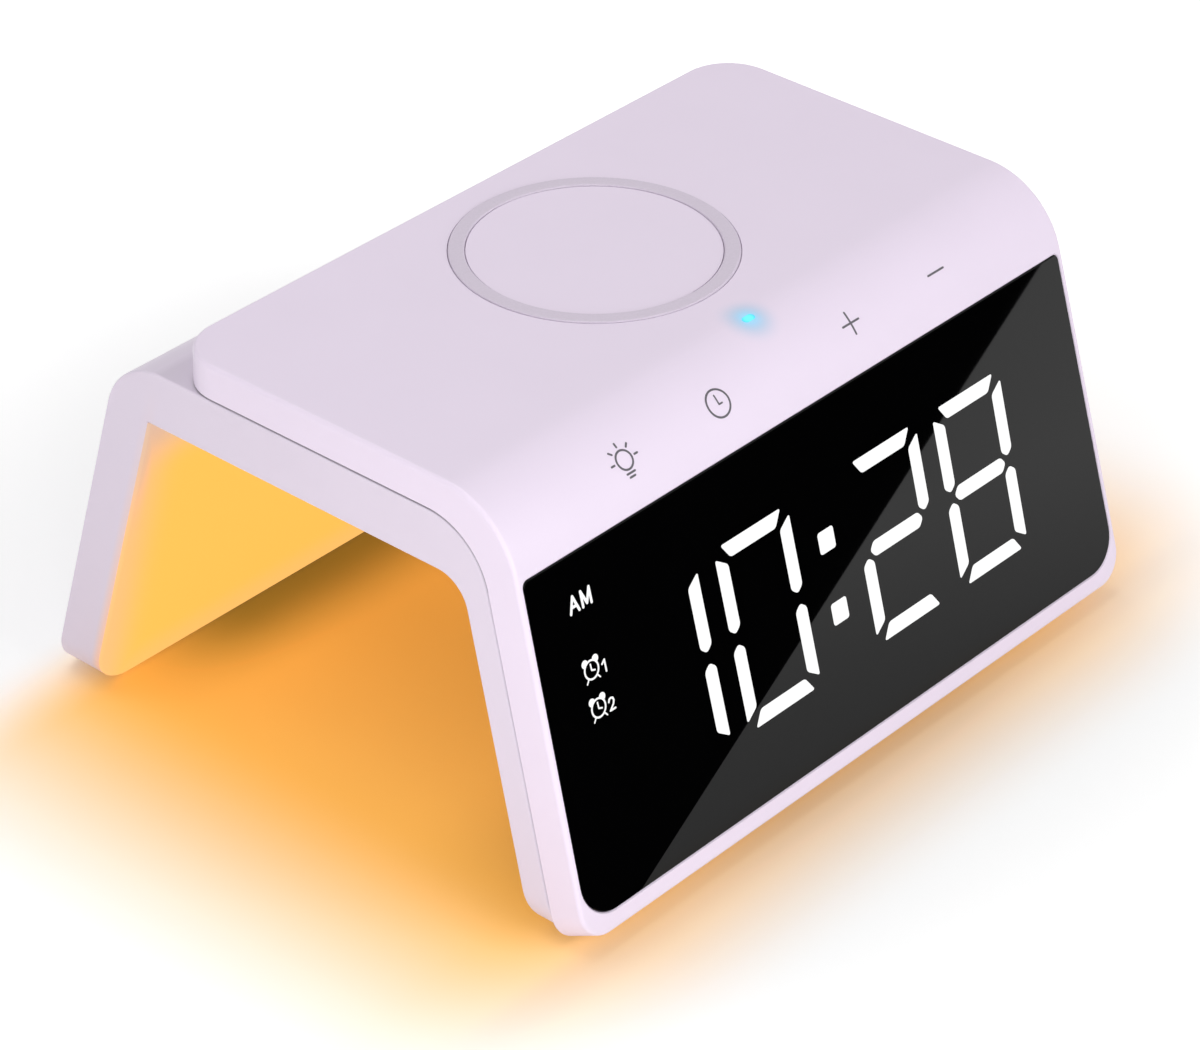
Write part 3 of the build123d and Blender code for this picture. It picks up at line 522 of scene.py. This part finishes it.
def satin_plastic(name, rgb, seam=None, glow=None):
    """Moulded plastic with a fine grain, with painted shade in its seam and painted light where a lamp
    shines in it.
    """
    finish = new_finish(name)
    grain = finish.noise(0.22 * MM, 3.0)
    cloud = finish.noise(18 * MM)
    tone = finish.mix(cloud, scaled(rgb, 0.985), scaled(rgb, 1.015))
    sockets = {"roughness": 0.4 + 0.12 * grain, "normal": finish.bump(grain, 0.02 * MM, 0.35)}
    if seam:
        # Painted shade: the plastic turns darker in and beside the seam
        tone = finish.mix(painted_seam_shade(finish, *seam), tone, scaled(rgb, 0.3))
    if glow:
        # Painted light: a lamp's glow painted into the plastic's colour and emission
        painted_light_mask, painted_light_colour, light, shine = glow(finish)
        tone = finish.mix(painted_light_mask, tone, painted_light_colour)
        sockets["emission_color"] = finish.mix(light, (0, 0, 0), shine)
        sockets["emission_strength"] = 1.0
    return finish.surface(base_color=tone, **sockets)


def painted_seam_shade(finish, start, end):
    """Painted shade in the seam of the cover and the bridge, from one distance outside the bridge's outline
    to another.
    """
    paler_on_leg = 0.55
    _, y, z = finish.axes()
    seam_z = top_height - COVER_TOP_DEPTH
    middle_z = seam_z - BRIDGE_BEND
    middle_y = face_foot + (middle_z * lean_sin + COVER_DEPTH + BRIDGE_BEND) / lean_cos
    gap_y, gap_z = y - middle_y, z - middle_z
    round_bend = (gap_y * gap_y + gap_z * gap_z) ** 0.5 - BRIDGE_BEND
    leg = gap_z * lean_sin - gap_y * lean_cos - BRIDGE_BEND
    on_leg = (gap_y * lean_sin + gap_z * lean_cos).below(0.0)
    on_top = (0 - gap_y).below(0.0)
    outside = on_leg * leg + (1 - on_leg) * (on_top * (z - seam_z) + (1 - on_top) * round_bend)
    return finish.ease(outside, start, end) * (1 - paler_on_leg * on_leg)


def indicator_halo(sizes, colours):
    """Light that spreads in the cover round the charge indicator."""
    low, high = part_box("indicator_light_pipe")

    def glow(finish):
        near = finish.ease(finish.from_point((low + high) / 2), 0.0, sizes.indicator_halo)
        # Painted light: the cover is tinted blue and made to glow round the indicator
        painted_light_mask, light = near ** 1.5 * 0.85, near ** 5.0 * 0.35
        return painted_light_mask, tuple(colours.halo), light, tuple(colours.indicator)
    return glow


def painted_leg_light(colours):
    """Painted light: warm glow painted on the rear leg's rim beside the lit panel, as if light shone through
    it.
    """
    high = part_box("night_light_diffuser")[1]
    panel_back = -face_foot - HOUSING_DEPTH / lean_cos
    spread, past_top = 2.2 * MM, 12 * MM

    def glow(finish):
        x, y, z = finish.axes()
        depth = (y - panel_back) * lean_cos + z * lean_sin
        beside = finish.ease(depth, 0.0, spread) * finish.ease(0 - depth, 0.0, spread)
        lower = finish.ease(z, 0.0, high.z + past_top)
        end = finish.ease(high.x - z * END_DRAFT - abs(x), 0.8 * MM, 3 * MM)
        # Painted light: the rim is tinted and made to glow beside the lit panel
        light_bleed = beside * lower * end
        return light_bleed * 0.8, tuple(colours.light_bleed), light_bleed * 0.09, tuple(colours.amber_edge)
    return glow


def lit_panel(name, colours):
    """Frosted panel lit from behind: paler at its ends and foot, with painted shade under the arch and in
    its upper corners.
    """
    finish = new_finish(name)
    low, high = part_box("night_light_diffuser")
    x, _, z = finish.axes()
    from_end = high.x - z * END_DRAFT - abs(x)
    from_top = high.z - z
    ends = finish.ease(from_end, 0.0, 14 * MM)
    foot = finish.ease(z, low.z + 1 * MM, low.z + 8 * MM)
    pale = finish.mix((ends ** 2.0).above(foot * 0.4), tuple(colours.amber), tuple(colours.amber_edge))
    # Painted shade: the panel turns darker and lilac towards its top and upper corners, under the bridge
    upper = finish.ease(from_top, 0.0, 16 * MM) ** 1.4 * 0.95
    corner = finish.ease(from_end, 0.0, 3.5 * MM) * finish.ease(from_top, 2 * MM, 32 * MM)
    shade = upper.above(corner * 0.9)
    light = finish.mix(shade, pale, tuple(colours.amber_painted_shade))
    grain = finish.noise(0.4 * MM)
    return finish.surface(base_color=scaled(colours.amber, 0.18), roughness=0.45 + 0.1 * grain,
                          emission_color=light, emission_strength=1.0,
                          normal=finish.bump(grain, 0.02 * MM, 0.3))


def gloss_window(name, rgb):
    """Polished black pane."""
    finish = new_finish(name)
    smear = finish.noise(25 * MM)
    tone = finish.mix(smear, scaled(rgb, 0.8), scaled(rgb, 1.2))
    return finish.surface(base_color=tone, roughness=0.012 + 0.01 * smear, specular_ior_level=0.215)


def lit_sign(name, rgb):
    """White light behind the window, a little uneven."""
    finish = new_finish(name)
    cloud = finish.noise(4 * MM)
    light = finish.mix(cloud, scaled(rgb, 0.97), tuple(rgb))
    return finish.surface(base_color=(0.02, 0.02, 0.02), roughness=0.35 + 0.1 * cloud,
                          emission_color=light, emission_strength=1.0)


def ink(name, rgb):
    """Printed ink, thinner here and there."""
    finish = new_finish(name)
    cover = finish.noise(0.3 * MM)
    return finish.surface(base_color=finish.mix(cover, scaled(rgb, 0.9), scaled(rgb, 1.15)),
                          roughness=0.5 + 0.1 * cover)


def milky_lens(name, rgb):
    """Lit lens, brightest in its middle."""
    finish = new_finish(name)
    low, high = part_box("indicator_light_pipe")
    core = finish.ease(finish.from_point((low + high) / 2), 0.6 * MM, 2 * MM)
    light = finish.mix(core, scaled(rgb, 0.75), (0.16, 0.86, 1.0))
    return finish.surface(base_color=scaled(rgb, 0.3), roughness=0.25 + 0.1 * core,
                          emission_color=light, emission_strength=1.0)


def rubber(name, rgb):
    """Soft matt silicone with a dusty grain."""
    finish = new_finish(name)
    dust = finish.noise(0.5 * MM, 4.0)
    return finish.surface(base_color=finish.mix(dust, scaled(rgb, 0.92), scaled(rgb, 1.05)),
                          roughness=0.72 + 0.12 * dust, normal=finish.bump(dust, 0.04 * MM, 0.4))


def moulded(name, rgb, roughness=0.5):
    """Plain moulded plastic with a faint grain."""
    finish = new_finish(name)
    grain = finish.noise(0.4 * MM)
    return finish.surface(base_color=finish.mix(grain, scaled(rgb, 0.9), scaled(rgb, 1.1)),
                          roughness=roughness + 0.12 * grain, normal=finish.bump(grain, 0.03 * MM, 0.3))


def steel(name, rgb, roughness, stretch):
    """Brushed metal, its lines drawn out by stretch."""
    finish = new_finish(name)
    lines = finish.noise(0.6 * MM, 4.0, stretch)
    return finish.surface(base_color=finish.mix(lines, scaled(rgb, 0.88), scaled(rgb, 1.06)), metallic=1.0,
                          roughness=roughness + 0.14 * lines, normal=finish.bump(lines, 0.012 * MM, 0.3))


def board(name, rgb):
    """Solder mask over copper lines, with tinned pads."""
    finish = new_finish(name)
    lines = finish.node("ShaderNodeTexBrick", {"offset": 0.35, "squash": 1.0},
                        {"Vector": finish.place(), "Scale": 260.0, "Mortar Size": 0.03}, "Fac")
    cells = finish.node("ShaderNodeTexVoronoi", (), {"Vector": finish.place(), "Scale": 420.0}, "Distance")
    pads = finish.ease(cells, 0.16, 0.20)
    tracks = finish.mix(lines, scaled(rgb, 0.8), scaled(rgb, 1.5))
    return finish.surface(base_color=finish.mix(pads, tracks, (0.72, 0.70, 0.62)), metallic=pads,
                          roughness=0.42 - 0.1 * pads, normal=finish.bump(lines + pads, 0.04 * MM, 0.4))


def film(name, rgb):
    """Amber film with copper lines along it."""
    finish = new_finish(name)
    lines = finish.node("ShaderNodeTexWave", {"bands_direction": "X"},
                        {"Vector": finish.place(), "Scale": 320.0}, "Fac")
    tracks = finish.ease(lines, 0.42, 0.58)
    return finish.surface(base_color=finish.mix(tracks, tuple(rgb), scaled(rgb, 0.55)),
                          roughness=0.3 + 0.1 * tracks, normal=finish.bump(tracks, 0.03 * MM, 0.4))


def wound_copper(name, rgb, middle):
    """Turns of enamelled wire round a middle."""
    finish = new_finish(name)
    wire_pitch = 1.1 * MM
    turns = finish.from_point(middle) / wire_pitch
    wire = 1 - abs(turns.math("FRACT", turns) - 0.5) * 2
    return finish.surface(base_color=finish.mix(wire, scaled(rgb, 0.35), tuple(rgb)), metallic=0.9,
                          roughness=0.32 + 0.15 * (1 - wire), normal=finish.bump(wire, 0.3 * MM, 0.6))


def sintered(name, rgb):
    """Dark sintered sheet."""
    finish = new_finish(name)
    grain = finish.noise(0.8 * MM, 6.0)
    return finish.surface(base_color=finish.mix(grain, scaled(rgb, 0.7), scaled(rgb, 1.3)), metallic=0.25,
                          roughness=0.55 + 0.2 * grain, normal=finish.bump(grain, 0.05 * MM, 0.5))


def paint_node(node, material):
    """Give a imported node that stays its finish."""
    for place_in_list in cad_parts[node].material_slots:
        place_in_list.material = material


# Operators, one for each group of pieces


class ClockOperator:
    """What the operators share"""
    bl_options = {"REGISTER", "UNDO"}

    @staticmethod
    def settings(context):
        return context.scene.clock_sizes, context.scene.clock_colours


class CLOCK_OT_shells(ClockOperator, bpy.types.Operator):
    """Smooth moulded shells: bent cover, bridge and the night light's panel"""
    bl_idname = "clock.shells"
    bl_label = "Shells"

    def execute(self, context):
        sizes, colours = self.settings(context)
        halo, light_bleed = indicator_halo(sizes, colours), painted_leg_light(colours)
        satin_cover = satin_plastic("satin_cover", colours.cover, COVER_SEAM_SHADE, halo)
        satin_base = satin_plastic("satin_base", colours.base, BASE_SEAM_SHADE, light_bleed)
        frosted = lit_panel("lit_panel", colours)
        cover = smooth(merged_copy("front_cover", "cover_shell"))
        finish_piece(cover, satin_cover, node="front_cover")
        bridge = smooth(merged_copy("bridge_base", "bridge_shell"))
        finish_piece(bridge, satin_base, node="bridge_base")
        panel = smooth(merged_copy("night_light_diffuser", "night_light_panel"))
        finish_piece(panel, frosted, node="night_light_diffuser")
        return {"FINISHED"}


class CLOCK_OT_window(ClockOperator, bpy.types.Operator):
    """Polished window in front of the digits"""
    bl_idname = "clock.window"
    bl_label = "Window"

    def execute(self, context):
        gloss = gloss_window("gloss_window", context.scene.clock_colours.window)
        pane = smooth(merged_copy("display_window", "window_pane"))
        finish_piece(pane, gloss, node="display_window")
        return {"FINISHED"}


def bar_outlines(sizes, height):
    """Corners of a digit's seven bars, from the digit's lower left corner."""
    w, h, s = sizes.digit_width, height, sizes.bar_width
    shoulder = h / 2 + sizes.waist_gap + sizes.waist_shoulder
    outer, inner = sizes.mitre_outer, sizes.mitre_inner
    top = [(outer, h), (w - outer, h), (w - inner, h - s), (inner, h - s)]
    left = [(0, h - outer), (s, h - inner), (s, shoulder), (s / 2, h / 2 + sizes.waist_gap), (0, shoulder)]
    right = [(w - x, y) for x, y in left]
    tip = sizes.middle_tip + sizes.waist_shoulder
    middle = [(sizes.middle_tip, h / 2), (tip, (h + s) / 2), (w - tip, (h + s) / 2),
              (w - sizes.middle_tip, h / 2), (w - tip, (h - s) / 2), (tip, (h - s) / 2)]
    lower = [[(x, h - y) for x, y in bar] for bar in (right, top, left)]
    return dict(zip("abcdefg", [top, right, *lower, left, middle]))


class CLOCK_OT_digits(ClockOperator, bpy.types.Operator):
    """Lit bars of the time"""
    bl_idname = "clock.digits"
    bl_label = "Digits"

    def execute(self, context):
        sizes, colours = self.settings(context)
        white = lit_sign("lit_digits", colours.digits)
        height = digits_high.y - digits_low.y
        outlines = bar_outlines(sizes, height)
        bars = {name: plate(outline, sizes.bar_rounding) for name, outline in outlines.items()}
        inner, outer = sizes.colon_pitch / 2, sizes.colon_pitch / 2 + sizes.digit_pitch
        centre = (digits_low.x + digits_high.x) / 2
        shown = [character for character in sizes.time if character in LIT_BARS]
        shifts = (-outer, -inner, inner, outer)
        for character, shift, order in zip(shown, shifts, ("first", "second", "third", "fourth")):
            corner = Vector((centre + shift - sizes.digit_width / 2, digits_low.y, 0))
            lit = [copied(bars[name], corner) for name in LIT_BARS[character]]
            digit = raised(join(f"digit_{order}", lit), sizes.inlay)
            finish_piece(place(digit, display_matrix), white)
        half = sizes.colon_size / 2
        square = [(-half, -half), (half, -half), (half, half), (-half, half)]
        dot = plate(square, sizes.bar_rounding)
        middle = (digits_low.y + digits_high.y) / 2
        dots = [copied(dot, (centre, middle + rise, 0)) for rise in (-sizes.colon_rise, sizes.colon_rise)]
        colon = raised(join("colon", dots), sizes.inlay)
        finish_piece(place(colon, display_matrix), white)
        for template in [*bars.values(), dot]:
            bpy.data.objects.remove(template)
        return {"FINISHED"}


def alarm_sign(sizes, middle, number):
    """A twin-bell alarm clock with its number."""
    middle = Vector(middle)
    radius, line = sizes.alarm_radius, sizes.alarm_line
    bell_turn, foot_turn, foot_length = radians(40), radians(38), 0.95 * MM
    parts = [ring(middle, radius, line)]
    for side in (-1, 1):
        outward = Vector((side * sin(bell_turn), cos(bell_turn)))
        bell = middle + outward * (radius + line * 0.9)
        bpy.ops.mesh.primitive_circle_add(vertices=32, radius=sizes.bell_radius, fill_type="NGON",
                                          location=(*bell, 0))
        open_all(settle(bpy.context.active_object))
        cut = middle + outward * (radius + line * 0.2)
        bpy.ops.mesh.bisect(plane_co=(*cut, 0), plane_no=(*-outward, 0), clear_outer=True)
        parts.append(close_edit())
        foot = Vector((side * sin(foot_turn), -cos(foot_turn)))
        heel, toe = middle + foot * radius, middle + foot * (radius + foot_length)
        parts.append(stroke((*heel, 0), (*toe, 0), line * 0.8))
    hub = middle - Vector((0, 0.1 * MM))
    for reach in ((-0.05 * MM, 1.0 * MM), (0.75 * MM, -0.35 * MM)):
        parts.append(stroke((*hub, 0), (*(middle + Vector(reach)), 0), line * 0.85))
    low = middle + Vector(sizes.number_place)
    return parts + pen_sign(number, low, sizes.number_size, sizes.number_line)


class CLOCK_OT_signs(ClockOperator, bpy.types.Operator):
    """Lit signs beside the digits: half of the day and the two alarms"""
    bl_idname = "clock.signs"
    bl_label = "Display signs"

    def execute(self, context):
        sizes, colours = self.settings(context)
        white = lit_sign("lit_signs", colours.digits)
        word = []
        for place_in_word, letter in enumerate(sizes.day_half):
            shift = Vector((place_in_word * (sizes.letter_size[0] + sizes.letter_gap), 0))
            low = Vector(sizes.day_half_place) + shift
            word += pen_sign(letter, low, sizes.letter_size, sizes.letter_line)
        signs = {"sign_day_half": word,
                 "sign_alarm_first": alarm_sign(sizes, sizes.alarm_first, "1"),
                 "sign_alarm_second": alarm_sign(sizes, sizes.alarm_second, "2")}
        for name, parts in signs.items():
            sign = raised(join(name, parts), sizes.inlay)
            finish_piece(place(sign, display_matrix), white)
        return {"FINISHED"}


def bulb_sign(sizes):
    """A lamp with rays: the night light's key."""
    line, radius = sizes.key_line, sizes.bulb_radius
    ray_start, ray_end = radius + 0.75 * MM, radius + 1.45 * MM
    socket_lines = ((0.95 * MM, 2.4 * MM), (0.6 * MM, 3.1 * MM))
    parts = [ring((0, 0), radius, line)]
    for degrees in (0, 45, 90, 135, 180):
        way = Vector((cos(radians(degrees)), sin(radians(degrees)), 0))
        parts.append(stroke(way * ray_start, way * ray_end, line))
    for half_width, drop in socket_lines:
        parts.append(stroke((-half_width, -drop, 0), (half_width, -drop, 0), line))
    return parts


def dial_sign(sizes):
    """A clock face: the time's key."""
    line, hand = sizes.key_line, sizes.key_line * 0.8
    hub = (0, -0.25 * MM, 0)
    return [ring((0, 0), sizes.dial_radius, line),
            stroke(hub, (0, 1.5 * MM, 0), hand),
            stroke(hub, (0.8 * MM, -0.25 * MM, 0), hand)]


class CLOCK_OT_keys(ClockOperator, bpy.types.Operator):
    """Printed signs of the four touch keys on the bend"""
    bl_idname = "clock.keys"
    bl_label = "Key signs"

    def execute(self, context):
        sizes, colours = self.settings(context)
        grey = ink("key_ink", colours.prints)
        arm, line = sizes.arm, sizes.key_line
        across = [stroke((-arm, 0, 0), (arm, 0, 0), line) for _ in range(2)]
        upright = stroke((0, -arm, 0), (0, arm, 0), line)
        signs = {"key_light": bulb_sign(sizes), "key_dial": dial_sign(sizes),
                 "key_plus": [across[0], upright], "key_minus": [across[1]]}
        for (name, parts), x in zip(signs.items(), sizes.key_places):
            sign = wrapped(raised(join(name, parts), sizes.inlay), sizes.bend_radius, sizes.key_arc)
            finish_piece(place(sign, Matrix.Translation((x, 0, 0))), grey)
        return {"FINISHED"}


class CLOCK_OT_trim(ClockOperator, bpy.types.Operator):
    """Indicator lens, anti-slip ring and foot pads"""
    bl_idname = "clock.trim"
    bl_label = "Trim"

    def execute(self, context):
        sizes, colours = self.settings(context)
        lens = smooth(merged_copy("indicator_light_pipe", "indicator_lens"))
        milky = milky_lens("milky_lens", colours.indicator)
        finish_piece(lens, milky, node="indicator_light_pipe")
        band = smooth(merged_copy("anti_slip_ring", "anti_slip_band"))
        silicone = rubber("silicone", scaled(colours.base, 0.93))
        finish_piece(band, silicone, node="anti_slip_ring")
        pads = merged_copy("rubber_feet", "foot_pads")
        open_all(pads)
        bpy.ops.mesh.dissolve_limited(angle_limit=radians(1))
        pads = apply_modifier(close_edit(), "BEVEL", width=sizes.pad_edge, segments=3, limit_method="ANGLE")
        finish_piece(smooth(pads), silicone, node="rubber_feet")
        paint_node("speaker_gasket", silicone)
        return {"FINISHED"}


class CLOCK_OT_door(ClockOperator, bpy.types.Operator):
    """Coin-slot battery door and the cover's screws"""
    bl_idname = "clock.door"
    bl_label = "Battery door"

    def execute(self, context):
        door = smooth(merged_copy("battery_door", "coin_slot_door"))
        satin = satin_plastic("satin_door", context.scene.clock_colours.base)
        finish_piece(door, satin, body="battery_door", node="battery_door")
        screws = smooth(merged_copy("cover_screws", "cover_screw_set"))
        dark = steel("dark_steel", (0.22, 0.22, 0.23), 0.3, (1, 1, 0.2))
        finish_piece(screws, dark, node="cover_screws")
        paint_node("board_screws", dark)
        return {"FINISHED"}


class CLOCK_OT_inlet(ClockOperator, bpy.types.Operator):
    """Power inlet"""
    bl_idname = "clock.inlet"
    bl_label = "Power inlet"

    def execute(self, context):
        shell = smooth(merged_copy("usb_socket", "inlet_shell"))
        bright = steel("inlet_steel", (0.60, 0.60, 0.62), 0.22, (1, 0.2, 0.2))
        finish_piece(shell, bright, node="usb_socket")
        paint_node("usb_tongue", moulded("inlet_tongue", (0.02, 0.02, 0.02)))
        return {"FINISHED"}


class CLOCK_OT_insides(ClockOperator, bpy.types.Operator):
    """Finishes of the pieces inside"""
    bl_idname = "clock.insides"
    bl_label = "Insides"

    def execute(self, context):
        low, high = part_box("charging_coil")
        black = moulded("black_moulding", (0.03, 0.03, 0.03))
        green = board("green_board", (0.02, 0.14, 0.06))
        white_board = board("white_board", (0.62, 0.62, 0.60))
        amber_film = film("amber_film", (0.42, 0.20, 0.03))
        light = lit_sign("light_bar", (0.9, 0.92, 1.0))
        plated = steel("plated_steel", (0.70, 0.70, 0.70), 0.2, (1, 1, 0.2))
        copper = wound_copper("wound_copper", (0.72, 0.36, 0.20), (low + high) / 2)
        kept = {black: ("display_mask", "battery_holder", "display_chips", "charging_components",
                        "coil_tray", "speaker"),
                green: ("display_board", "charging_board", "usb_board"),
                white_board: ("night_light_board",),
                amber_film: ("touch_flex", "display_ribbon", "power_lead"),
                light: ("display_segments", "night_light_leds", "indicator_led"),
                plated: ("coin_cell", "battery_contact"),
                copper: ("charging_coil",),
                steel("copper_foil", (0.78, 0.45, 0.28), 0.3, (0.2, 1, 1)): ("touch_electrodes",),
                sintered("sintered_sheet", (0.06, 0.06, 0.065)): ("ferrite_sheet",),
                moulded("white_moulding", (0.82, 0.82, 0.82), 0.35): ("night_light_reflector",),
                moulded("foam_tape", (0.04, 0.04, 0.04), 0.7): ("window_tape",)}
        for material, nodes in kept.items():
            for node in nodes:
                paint_node(node, material)
        return {"FINISHED"}


def view_rays(finish):
    """1 for rays from the camera and for what metal and glass show."""
    rays = finish.node("ShaderNodeLightPath").socket.node.outputs
    camera, glossy, through = [Wire(finish, rays[name]) for name in
                               ("Is Camera Ray", "Is Glossy Ray", "Is Transmission Ray")]
    return (camera + glossy + through).under(1.0)


def pale_floor(name, colours, stage):
    """Pale floor with the night light's glow and the clock's shade painted round the legs, and clear from
    below.
    """
    finish = new_finish(name)
    x, y, _ = finish.axes()
    # How quickly the painted glow fades past the ends, in front and behind
    pace_end, pace_front, pace_rear = 0.88, 1.4, 3.0
    past_x = ((abs(x - stage.glow_middle) - stage.glow_half) * pace_end).above(0.0)
    past_y = ((0 - y - stage.glow_front).above(0.0) * pace_front
              + (y - stage.glow_rear).above(0.0) * pace_rear)
    glow = finish.ease((past_x * past_x + past_y * past_y) ** 0.5, *stage.glow_fade)
    # Painted shadow: the floor is darkened under the arch, by the front leg, at the toe and by the rear leg
    under_arch = finish.ease(abs(x), 15 * MM, 65 * MM)
    past_front = y - face_foot - FRONT_DEPTH / lean_cos
    by_front_leg = (finish.ease(past_front, 5 * MM, 40 * MM) * finish.ease(0 - past_front, 0.0, 12 * MM)
                    * finish.ease(abs(x), 55 * MM, 85 * MM))
    by_toe = finish.ease(abs(y - face_foot), 1 * MM, 7 * MM)
    by_rear_leg = (finish.ease(abs(-face_foot - REAR_DEPTH / lean_cos - y), 1 * MM, 22 * MM)
                   * finish.ease(abs(x), 38 * MM, 76 * MM))
    lit = finish.mix(by_rear_leg, tuple(colours.floor_glow), tuple(colours.floor_shade))
    dim_arch, dim_leg, dim_toe = 0.22, 0.3, 0.18
    dim = 1 - (1 - dim_arch * under_arch) * (1 - dim_leg * by_front_leg) * (1 - dim_toe * by_toe)
    seen = view_rays(finish)
    # Share of the painted glow that the floor throws back at the clock
    thrown = 0.35
    strength = glow * (thrown + (1 - thrown) * seen)
    # Painted light: the glow is painted into the floor's colour
    floor_with_painted_light = finish.mix(strength, tuple(colours.floor), finish.mix(dim, lit, (0, 0, 0)))
    away = 1 - finish.ease(finish.from_point((0, 0, 0)), *stage.white_floor)
    lift = finish.mix(seen * (0.25 + 0.45 * away), (0, 0, 0), floor_with_painted_light)
    top = finish.shader(base_color=floor_with_painted_light, roughness=0.9, specular_ior_level=0.0,
                        emission_color=lift, emission_strength=1.0)
    from_below = finish.node("ShaderNodeNewGeometry", output="Backfacing")
    clear = finish.node("ShaderNodeBsdfTransparent")
    return finish.end(finish.node("ShaderNodeMixShader", (), {0: from_below, 1: top, 2: clear}))


class CLOCK_OT_stage(ClockOperator, bpy.types.Operator):
    """Pale floor, soft lamps, world and camera"""
    bl_idname = "clock.stage"
    bl_label = "Stage"

    def execute(self, context):
        self.floor(context)
        self.dark_card()
        self.lamps()
        self.world(context)
        self.camera(context)
        return {"FINISHED"}

    def floor(self, context):
        bpy.ops.object.select_all(action="DESELECT")
        bpy.ops.mesh.primitive_plane_add(size=8)
        floor = bpy.context.active_object
        floor.name = "floor"
        scene = context.scene
        floor.data.materials.append(pale_floor("pale_floor", scene.clock_colours, scene.clock_stage))

    def dark_card(self):
        """Dark card in front of the clock that only its gloss mirrors: its edge crosses the window."""
        bpy.ops.mesh.primitive_plane_add(size=1)
        card = bpy.context.active_object
        card.name = "dark_card"
        near, far = Vector((-0.045, -0.084, 0.0005)), Vector((0.342, -0.308, 0.0005))
        along = (far - near).normalized()
        aside = Vector((along.y, -along.x, 0))
        depth, before, beyond = 1.2, 1.0, 2.0
        start, end = near - along * before, near + along * beyond
        corners = (start, end, start + aside * depth, end + aside * depth)
        for vertex, corner in zip(card.data.vertices, corners):
            vertex.co = corner
        black = new_finish("dark_card").surface(base_color=(0, 0, 0), roughness=1.0, specular_ior_level=0.0)
        card.data.materials.append(black)
        card.visible_camera = False
        card.visible_diffuse = False
        card.visible_shadow = False

    def lamps(self):
        """Softboxes, each with its place, its aim, its side and its power."""
        lamps = {"front_softbox": ((0.10, -0.85, 0.38), (0, -0.02, 0.04), 0.55, 2.9),
                 "left_softbox": ((-0.38, -0.20, 0.10), (-0.05, -0.03, 0.04), 0.2, 0.58),
                 "top_softbox": ((-0.05, 0.25, 0.9), (0, 0, 0.05), 0.7, 2.6)}
        for name, (spot_at, aim, size, power) in lamps.items():
            bpy.ops.object.light_add(type="AREA", location=spot_at)
            lamp = bpy.context.active_object
            lamp.name = name
            lamp.data.size = size
            lamp.data.energy = power
            lamp.rotation_euler = (Vector(aim) - Vector(spot_at)).to_track_quat("-Z", "Y").to_euler()
            lamp.visible_camera = False

    def world(self, context):
        """White room that lights the clock more softly than it looks."""
        world = bpy.data.worlds.new("white_room")
        context.scene.world = world
        finish = Finish(world)
        room_light = 0.42
        level = room_light + view_rays(finish) * (1 - room_light)
        finish.end(finish.node("ShaderNodeBackground", (), {"Color": (1, 1, 1, 1), "Strength": level}),
                   "ShaderNodeOutputWorld")

    def camera(self, context):
        stage = context.scene.clock_stage
        elevation, azimuth, roll = stage.look
        bpy.ops.object.camera_add()
        camera = bpy.context.active_object
        camera.name = "photo_camera"
        camera.data.sensor_width = 36
        camera.data.lens = stage.lens
        turn = Euler((radians(90) - elevation, 0, azimuth)).to_matrix().to_4x4()
        camera.matrix_world = Matrix.Translation(stage.eye) @ turn @ Matrix.Rotation(roll, 4, "Z")
        context.scene.camera = camera
        context.scene.view_settings.view_transform = "Standard"


OPERATORS = (CLOCK_OT_shells, CLOCK_OT_window, CLOCK_OT_digits, CLOCK_OT_signs, CLOCK_OT_keys, CLOCK_OT_trim,
             CLOCK_OT_door, CLOCK_OT_inlet, CLOCK_OT_insides, CLOCK_OT_stage)
GROUPS = {"clock_sizes": ClockSizes, "clock_colours": ClockColours, "clock_stage": ClockStage}


class CLOCK_PT_panel(bpy.types.Panel):
    """Sidebar panel with the clock's pieces, sizes and colours"""
    bl_idname = "CLOCK_PT_panel"
    bl_label = "Clock"
    bl_space_type = "VIEW_3D"
    bl_region_type = "UI"
    bl_category = "Clock"

    def draw(self, context):
        for operator in OPERATORS:
            self.layout.operator(operator.bl_idname)
        for name, group in GROUPS.items():
            box = self.layout.box()
            for setting in group.__annotations__:
                box.prop(getattr(context.scene, name), setting)


def register():
    for made in (*GROUPS.values(), *OPERATORS, CLOCK_PT_panel):
        bpy.utils.register_class(made)
    for name, group in GROUPS.items():
        setattr(bpy.types.Scene, name, PointerProperty(type=group))


def unregister():
    for name in GROUPS:
        delattr(bpy.types.Scene, name)
    for made in (CLOCK_PT_panel, *reversed(OPERATORS), *GROUPS.values()):
        bpy.utils.unregister_class(made)


def main():
    register()
    for operator in OPERATORS:
        group, name = operator.bl_idname.split(".")
        getattr(getattr(bpy.ops, group), name)()


if __name__ == "__main__":
    main()
